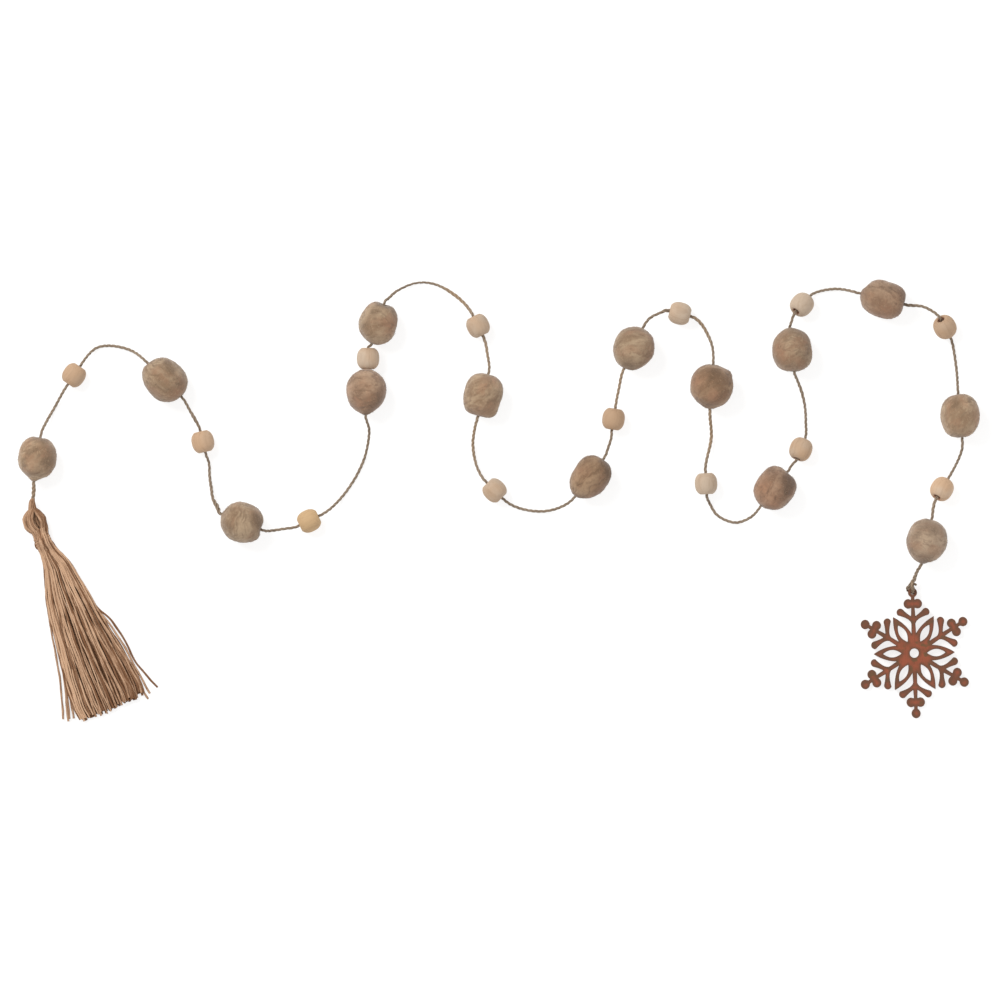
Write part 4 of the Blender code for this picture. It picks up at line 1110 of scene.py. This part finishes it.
def own_arm(points, arm):
    """An arm's points at its own reach and turn."""
    return turned_by([(across, along * ARM_REACHES[arm]) for across, along in points], ARM_TURNS[arm])


def hanging_hole():
    """Middle of the hole in the tied arm's lobe."""
    return own_arm([(TIP.across, TIP.along)], 0)[0]


def snowflake_outline():
    """The outer outline, once round: each arm's right half, a leaf's tip, and the next arm's left half."""
    club = arc(*CLUB, 12)
    leaf_tip, belly = turned_by([LEAF_TIP, LEAF_BELLY], -180 / ARMS)
    half = [*arc(*TIP, 10), (NECK_HALF, TIP.along - TIP.radius), (NECK_HALF, BAR.along + BAR_HALF), *arc(*BAR, 14),
            (STEM_HALF, BAR.along - BAR_HALF), CROTCH, *bow(CROTCH, CLUB_BACK, club[0], 7), *club,
            *bow(club[-1], ARMPIT_PULL, ARMPIT, 8), ARMPIT]
    leaf_side = [NOTCH, *bow(NOTCH, belly, leaf_tip, 12)]
    outline = []
    for arm in range(ARMS):
        turn = -360 / ARMS * arm
        outline += turned_by(own_arm(half, arm) + leaf_side + [leaf_tip], turn)
        other_arm = own_arm(mirrored(half[1:]), (arm + 1) % ARMS)
        outline += turned_by(mirrored(leaf_side) + other_arm, turn - 360 / ARMS)
    return outline


def leaf_opening(arm, steps=20):
    """The opening in a leaf, pointed at both ends and full between them."""
    half_length = (OPENING_FAR - OPENING_NEAR) / 2
    middle = (OPENING_FAR + OPENING_NEAR) / 2
    right = []
    for share in (2 * index / steps - 1 for index in range(steps + 1)):
        across = OPENING_HALF * max(0.0, math.cos(math.pi / 2 * share)) ** OPENING_FULLNESS
        right.append((across, middle + half_length * share))
    return turned_by(right + mirrored(right[1:-1]), 180 / ARMS - 360 / ARMS * arm)


def snowflake_matrix():
    """Where the flake lies: turned a little, and raised at its tied arm by the loop under it."""
    reach = TIP.along * max(ARM_REACHES) + TIP.radius
    tilt = math.asin(SNOWFLAKE_LIFT / (TIP.along + reach))
    place = on_surface(SNOWFLAKE_X, SNOWFLAKE_Y, reach * math.sin(tilt))
    turn = Matrix.Rotation(math.radians(SNOWFLAKE_TURN), 4, "Z")
    return Matrix.Translation(place) @ turn @ Matrix.Rotation(tilt, 4, "X")


def outline_loops():
    """Every outline of the board, the outer one first, each with solid board on its left."""
    made = []
    for loop in (snowflake_outline()[::-1], arc(0.0, 0.0, HUB_HOLE_RADIUS, 0, 348, 29),
                 arc(*hanging_hole(), HANGING_HOLE_RADIUS, 0, 345, 23), *map(leaf_opening, range(ARMS))):
        points = np.array(loop) * (SNOWFLAKE_ACROSS, 1.0)
        following = np.roll(points, -1, axis=0)
        area = np.sum(points[:, 0] * following[:, 1] - following[:, 0] * points[:, 1])
        made.append(points if (area > 0) != bool(made) else points[::-1])
    return made


def unit(rows):
    return rows / np.linalg.norm(rows, axis=1)[:, None]


def inset(points, distance):
    """The outline moved in, towards the board."""
    after = unit(np.roll(points, -1, axis=0) - points)
    middle = unit(unit(points - np.roll(points, 1, axis=0)) + after)
    inward = np.stack([-middle[:, 1], middle[:, 0]], axis=1)
    slant = np.clip(np.abs(np.sum(middle * after, axis=1)), 0.5, 1.0)
    return points + inward * (distance / slant)[:, None]


def sides_of(loops):
    return [side for loop in loops for side in zip(loop, np.roll(loop, -1, axis=0))]


def inside(places, loops):
    """Which places are on the board, by how many outlines a ray crosses."""
    hits = np.zeros(len(places), int)
    for (ax, ay), (bx, by) in sides_of(loops):
        if ay != by:
            spans = (ay > places[:, 1]) != (by > places[:, 1])
            hits += spans & (places[:, 0] < ax + (places[:, 1] - ay) * (bx - ax) / (by - ay))
    return hits % 2 == 1


def edge_distance(places, loops):
    """How far each place is from the nearest outline."""
    nearest = np.full(len(places), 1.0)
    for start, end in sides_of(loops):
        span = end - start
        share = np.clip((places - start) @ span / (span @ span), 0.0, 1.0)
        nearest = np.minimum(nearest, np.linalg.norm(places - start - share[:, None] * span, axis=1))
    return nearest


def snowflake(finish):
    """The board: two faces with scorched borders, eased edges and a charred rim."""
    loops = outline_loops()
    insets = [inset(loop, EDGE_ROUNDING) for loop in loops]
    reach = TIP.along + TIP.radius
    steps = np.arange(-reach, reach, BOARD_GRID)
    grid = np.array([(x + 0.5 * BOARD_GRID * (row % 2), y) for row, y in enumerate(steps) for x in steps])
    grid += BOARD_GRID * 0.18 * np.sin(grid[:, ::-1] * 5200.0)
    grid = grid[inside(grid, insets)]
    grid = grid[edge_distance(grid, insets) > 0.4 * BOARD_GRID]
    rings = []
    for loop in loops:
        first = rings[-1][-1] + 1 if rings else 0
        rings.append(list(range(first, first + len(loop))))
    edges = [edge for ring in rings for edge in zip(ring, ring[1:] + ring[:1])]
    flat = [Vector(point) for point in np.concatenate([*insets, grid])]
    points, _, triangles, origin, _, _ = delaunay_2d_cdt(flat, edges, [], 0, 1e-9)
    points = np.array([tuple(point) for point in points])
    triangles = np.array(triangles)
    triangles = triangles[inside(points[triangles].mean(axis=1), insets)]
    place_of = {source: index for index, sources in enumerate(origin) for source in sources}

    top = SNOWFLAKE_THICKNESS
    count = len(points)
    places = [(x, y, height) for height in (top, 0.0) for x, y in points]
    faces = [tuple(triangle) for triangle in triangles]
    faces += [tuple(count + corner for corner in reversed(triangle)) for triangle in triangles]
    scorch = 1.0 - np.clip(edge_distance(points, loops) / SCORCH_WIDTH, 0.0, 1.0)
    tied = np.linalg.norm(points - np.array(hanging_hole()) * (SNOWFLAKE_ACROSS, 1.0), axis=1)
    scorch += ARM_SCORCH * np.clip((np.linalg.norm(points, axis=1) - HUB_REACH) / HUB_REACH, 0.0, 1.0)
    # The tied arm's lobe is made darker all over, out to 1.6 radii from the hanging hole.
    scorch = list(scorch + 0.9 * np.clip(1.6 - tied / TIP.radius, 0.0, 1.0)) * 2
    for loop, ring in zip(loops, rings):
        rims = [[place_of[number] for number in ring]]
        for height in (top - EDGE_ROUNDING, top / 2, EDGE_ROUNDING):
            rims.append(list(range(len(places), len(places) + len(loop))))
            places += [(x, y, height) for x, y in loop]
            scorch += [1.5] * len(loop)
        rims.append([count + number for number in rims[0]])
        for upper, lower in zip(rims, rims[1:]):
            faces += band(upper, lower)
    mesh = new_mesh("stained_snowflake", places, faces, {"scorch": scorch})
    mesh.validate()
    work = bmesh.new()
    work.from_mesh(mesh)
    bmesh.ops.recalc_face_normals(work, faces=work.faces)
    work.to_mesh(mesh)
    work.free()
    mesh.transform(snowflake_matrix())
    mesh.shade_smooth()
    mesh.set_sharp_from_angle(angle=math.radians(40))
    mesh.materials.append(finish)
    fit(placed("stained_snowflake", mesh), "snowflake", "snowflake")


# The tassel


def section_at(position):
    """The bundle's middle, half width, half height and direction at a place between two sections."""
    index = min(int(position), len(STRAND_SECTIONS) - 2)
    share = position - index
    mixed = Section(*[a + (b - a) * share for a, b in zip(*STRAND_SECTIONS[index:index + 2])])
    before = STRAND_SECTIONS[max(index - (share < 0.5), 0)]
    after = STRAND_SECTIONS[min(index + 1 + (share > 0.5), len(STRAND_SECTIONS) - 1)]
    along = (on_surface(after.x, after.y) - on_surface(before.x, before.y)).normalized()
    middle = on_surface(mixed.x, mixed.y, mixed.height / 1000)
    return middle, mixed.half_width * PIXEL, mixed.half_height / 1000, along


def in_section(position, across_share, up_share, thick):
    """A place in the bundle's cross section, kept a strand's radius inside it."""
    middle, half_width, half_height, along = section_at(position)
    keep = STRAND_RADIUS * thick
    spread_by = SKIRT_SPREAD if position > SKIRT_START else 1.0
    place = middle + Vector((-along.y, along.x, 0.0)) * (max(half_width * spread_by - keep, 0.0) * across_share)
    return place + Vector((0.0, 0.0, max(half_height - keep, 0.0) * up_share))


def waved(points, thick, draw, reach, lift):
    """The line with slow bends that grow from its start, kept on the surface."""
    seed = Vector((draw.uniform(-50, 50), draw.uniform(-50, 50), 0.0))
    gone = 0.0
    made = []
    for before, point, size in zip([points[0], *points], points, thick):
        gone += (point - before).length
        bend = noise.noise_vector(seed + Vector((0.0, 0.0, gone / BEND_LENGTH)))
        drift = noise.noise_vector(seed + Vector((9.0, 0.0, gone / DRIFT_LENGTH)))
        aside = 0.35 * reach * bend + reach * drift
        place = point + min(1.0, gone / LOOSE_LENGTH) * Vector((aside.x, aside.y, lift * bend.z))
        place.z = max(place.z, STRAND_RADIUS * size)
        made.append(place)
    return made


def spread_over(values, count):
    """A list of numbers read evenly at count places."""
    return list(np.interp(np.linspace(0, len(values) - 1, count), range(len(values)), values))


def skirt_lines():
    """The strands of the comb, layer by layer, and those that stray from it."""
    draw = random.Random(7)
    lines = []
    for count, level in SKIRT_LAYERS:
        over = level > 0.5
        under = level < -0.5
        for index in range(count):
            share = (2 * (index + 0.5) / count - 1) + draw.uniform(-0.5, 0.5) / count
            up = level * math.sqrt(max(0.0, 1.0 - share * share)) + draw.uniform(-0.12, 0.12)
            start = OVER_WRAP_START if over and share > OVER_WRAP_SHARE else SKIRT_START
            thick = spread_over(SKIRT_THICK, int(2 * (len(TASSEL_SECTIONS) - 1 - start)) + 1)
            points = [in_section(start + step / 2, share, up, size) for step, size in enumerate(thick)]
            place = (share + 1) / 2 * (len(CUT_ENDS) - 1)
            cut = float(np.interp(place, range(len(CUT_ENDS)), CUT_ENDS)) + draw.uniform(-1.4, 1.2)
            points[-1] += (points[-1] - points[-2]).normalized() * (cut - 1.4) / 1000
            route = smooth(points, SKIRT_STEP)
            thick = spread_over(SKIRT_THICK, len(route))
            route = waved(route, thick, draw, 0.0007 if under else 0.0020, 0.0009)
            if over:
                tone = draw.choice((0.82, 0.82, 0.5, 0.5, -0.15)) + draw.uniform(-0.25, 0.25) - 0.15 * share
            else:
                # Strands under the top layer are darker overall: painted shade in the gaps between the top strands,
                # with their own random tone.
                tone = draw.uniform(-0.42, 0.3)
            size = draw.uniform(1.15, 1.45) if under else draw.uniform(0.65, 1.15)
            tones = [tone + NECK_PALER - END_DARKER * gone * (0.8 + 0.4 * share)
                     for gone in np.linspace(0.0, 1.0, len(route))]
            lines.append(Line(route, [value * size for value in thick], tones))
    for tone, points in STRAYS:
        route = smooth(traced(points), SKIRT_STEP)
        route = waved(route, [STRAY_THICKNESS] * len(route), draw, 0.0005, 0.0004)
        lines.append(Line(route, STRAY_THICKNESS, tone))
    return lines


def round_the_eye(place, across_share, up_share):
    """Pushes a strand of the head's upper side away from the dark eye that the strands part round."""
    start, end = (on_surface(*point) for point in EYE)
    span = end - start
    flat = Vector((place.x, place.y, 0.0)) - start
    share = flat.dot(span) / span.length_squared
    if up_share <= 0 or not -0.25 < share < 1.25:
        return place
    aside = Vector((-span.y, span.x, 0.0)).normalized()
    off = flat.dot(aside)
    side = 1.0 if across_share > EYE_SHARE else -1.0
    parted = max(0.0, math.cos(math.pi * (share - 0.5) / 1.5)) ** 1.5 * up_share
    kept = max(off * side, 0.0)
    fade = max(0.0, 1.0 - kept / (4.5 * EYE_HALF * PIXEL))
    return place + aside * side * parted * (kept - off * side + 1.6 * EYE_HALF * PIXEL * fade)


def head_lines():
    """The strands that fold over the tassel's head, and the ones inside it."""
    draw = random.Random(21)
    lines = []
    for count, inner in HEAD_RINGS:
        for index in range(count):
            turn = math.tau * (index + 0.5) / count + draw.uniform(-0.08, 0.08)
            across = math.cos(turn) * inner
            up = math.sin(turn) * inner
            points = []
            for step, thick in enumerate(spread_over(HEAD_THICK, 2 * HEAD_SECTIONS - 1)):
                place = in_section(step / 2, across, up, thick)
                points.append(round_the_eye(place, across, up) if inner == 1.0 else place)
            points.insert(0, on_surface(*HEAD_TOP).lerp(points[0], 0.4))
            route = smooth(points, HEAD_STEP)
            thick = spread_over(HEAD_THICK, len(route))
            route = waved(route, thick, draw, 0.0003, 0.0002)
            tone = draw.uniform(0.15, 0.50) - 0.25 * across if inner == 1.0 else draw.uniform(0.2, 0.6)
            lines.append(Line(route, thick, tone, 0.40))
    return lines


def wrap_lines():
    """The turns round the neck and the end of the wrap."""
    axis = direction(NECK_HEADING)
    across = Vector((-axis.y, axis.x, 0.0))
    points = []
    steps = int(WRAP_SIDES * WRAP_TURNS)
    for share in (index / steps for index in range(steps + 1)):
        turn = math.tau * WRAP_TURNS * share + WRAP_START
        along = WRAP_LENGTH * (share - 0.5) * 0.78 + WRAP_SLANT * math.cos(turn)
        points.append(on_surface(*NECK_MIDDLE) + axis * along
                      + WRAP_RADIUS * (across * math.cos(turn) + Vector((0.0, 0.0, math.sin(turn)))))
    tail = smooth(traced(WRAP_TAIL), TIE_STEP)
    tones = [0.45 - 1.3 * share ** 2 for share in np.linspace(0.0, 1.0, len(tail))]
    return [Line(points, 1.15, 0.55, 0.35), Line(tail, 1.25, tones, 0.35)]


def hanger_lines():
    """The strands of the small bell that the twine ends in, gathered at its top and spread over the head."""
    draw = random.Random(5)
    lines = []
    for turn in (math.tau * (index + 0.5) / BELL_STRANDS for index in range(BELL_STRANDS)):
        out = Vector((math.cos(turn), 0.10, 0.85 * math.sin(turn)))
        route = smooth([on_surface(x, y, HEAD_TOP[2]) + radius / 1000 * out for x, y, radius in BELL], BELL_STEP)
        lines.append(Line(route, spread_over(BELL_THICK, len(route)), draw.uniform(-0.2, 0.6)))
    return lines


def tassel(tree, yarn, fibres):
    """The bundle of strands, the turns round its neck and the tied strands on its head."""
    values = {"Ply Radius": 0.0008, "Ply Offset": 0.00014, "Twist Length": 0.021, "Unevenness": 0.5,
              "Ridge Height": 0.0007, "Sides": 8, "Fibre Density": 22000.0, "Fibre Length": 0.0026,
              "Fibre Radius": 0.00004, "Yarn": yarn, "Fibres": fibres}
    for seed, step, name, lines, node in (
            (31, 0.0020, "jute_tassel", skirt_lines() + head_lines(), "tassel_bundle"),
            (32, 0.0009, "tassel_neck_wrap", wrap_lines(), "tassel_wrap"),
            (33, 0.0009, "tassel_hanger_strands", hanger_lines(), "tassel_hanger")):
        fit(yarn_piece(name, lines, tree, {**values, "Step": step, "Seed": seed}), "tassel", node)


# Everything in its order


def main():
    noise.seed_set(NOISE_SEED)
    camera()
    twine_yarn = yarn_finish("greyish_jute_twine", TWINE_LIGHT, TWINE_DARK, TWINE_GOLDEN, 0.3, 0.15)
    twine_fibres = fibre_finish("twine_fibres", TWINE_LIGHT, TWINE_DARK)
    twine(plied_yarn_tree("three_ply_twine", 3), twine_yarn, twine_fibres)
    studio()
    wools = {}
    for name, colours in WOOLS.items():
        wools[name] = (wool_finish(name + "_wool", *colours), fibre_finish(name + "_wool_fibres", *colours))
    skin_tree = wool_skin_tree()
    for number, ball in enumerate(FELT_BALLS, 1):
        felt_ball(number, ball, skin_tree, *wools[ball.wool])
    wood = bead_finish()
    for number, bead in enumerate(WOOD_BEADS, 1):
        wood_bead(number, bead, wood)
    snowflake(stain_finish())
    jute = yarn_finish("golden_jute", JUTE_LIGHT, JUTE_DARK, JUTE_LIGHT, 0.92, 0.60)
    jute_fibres = fibre_finish("jute_fibres", JUTE_LIGHT, JUTE_DARK)
    tassel(plied_yarn_tree("jute_strand", 1), jute, jute_fibres)


main()
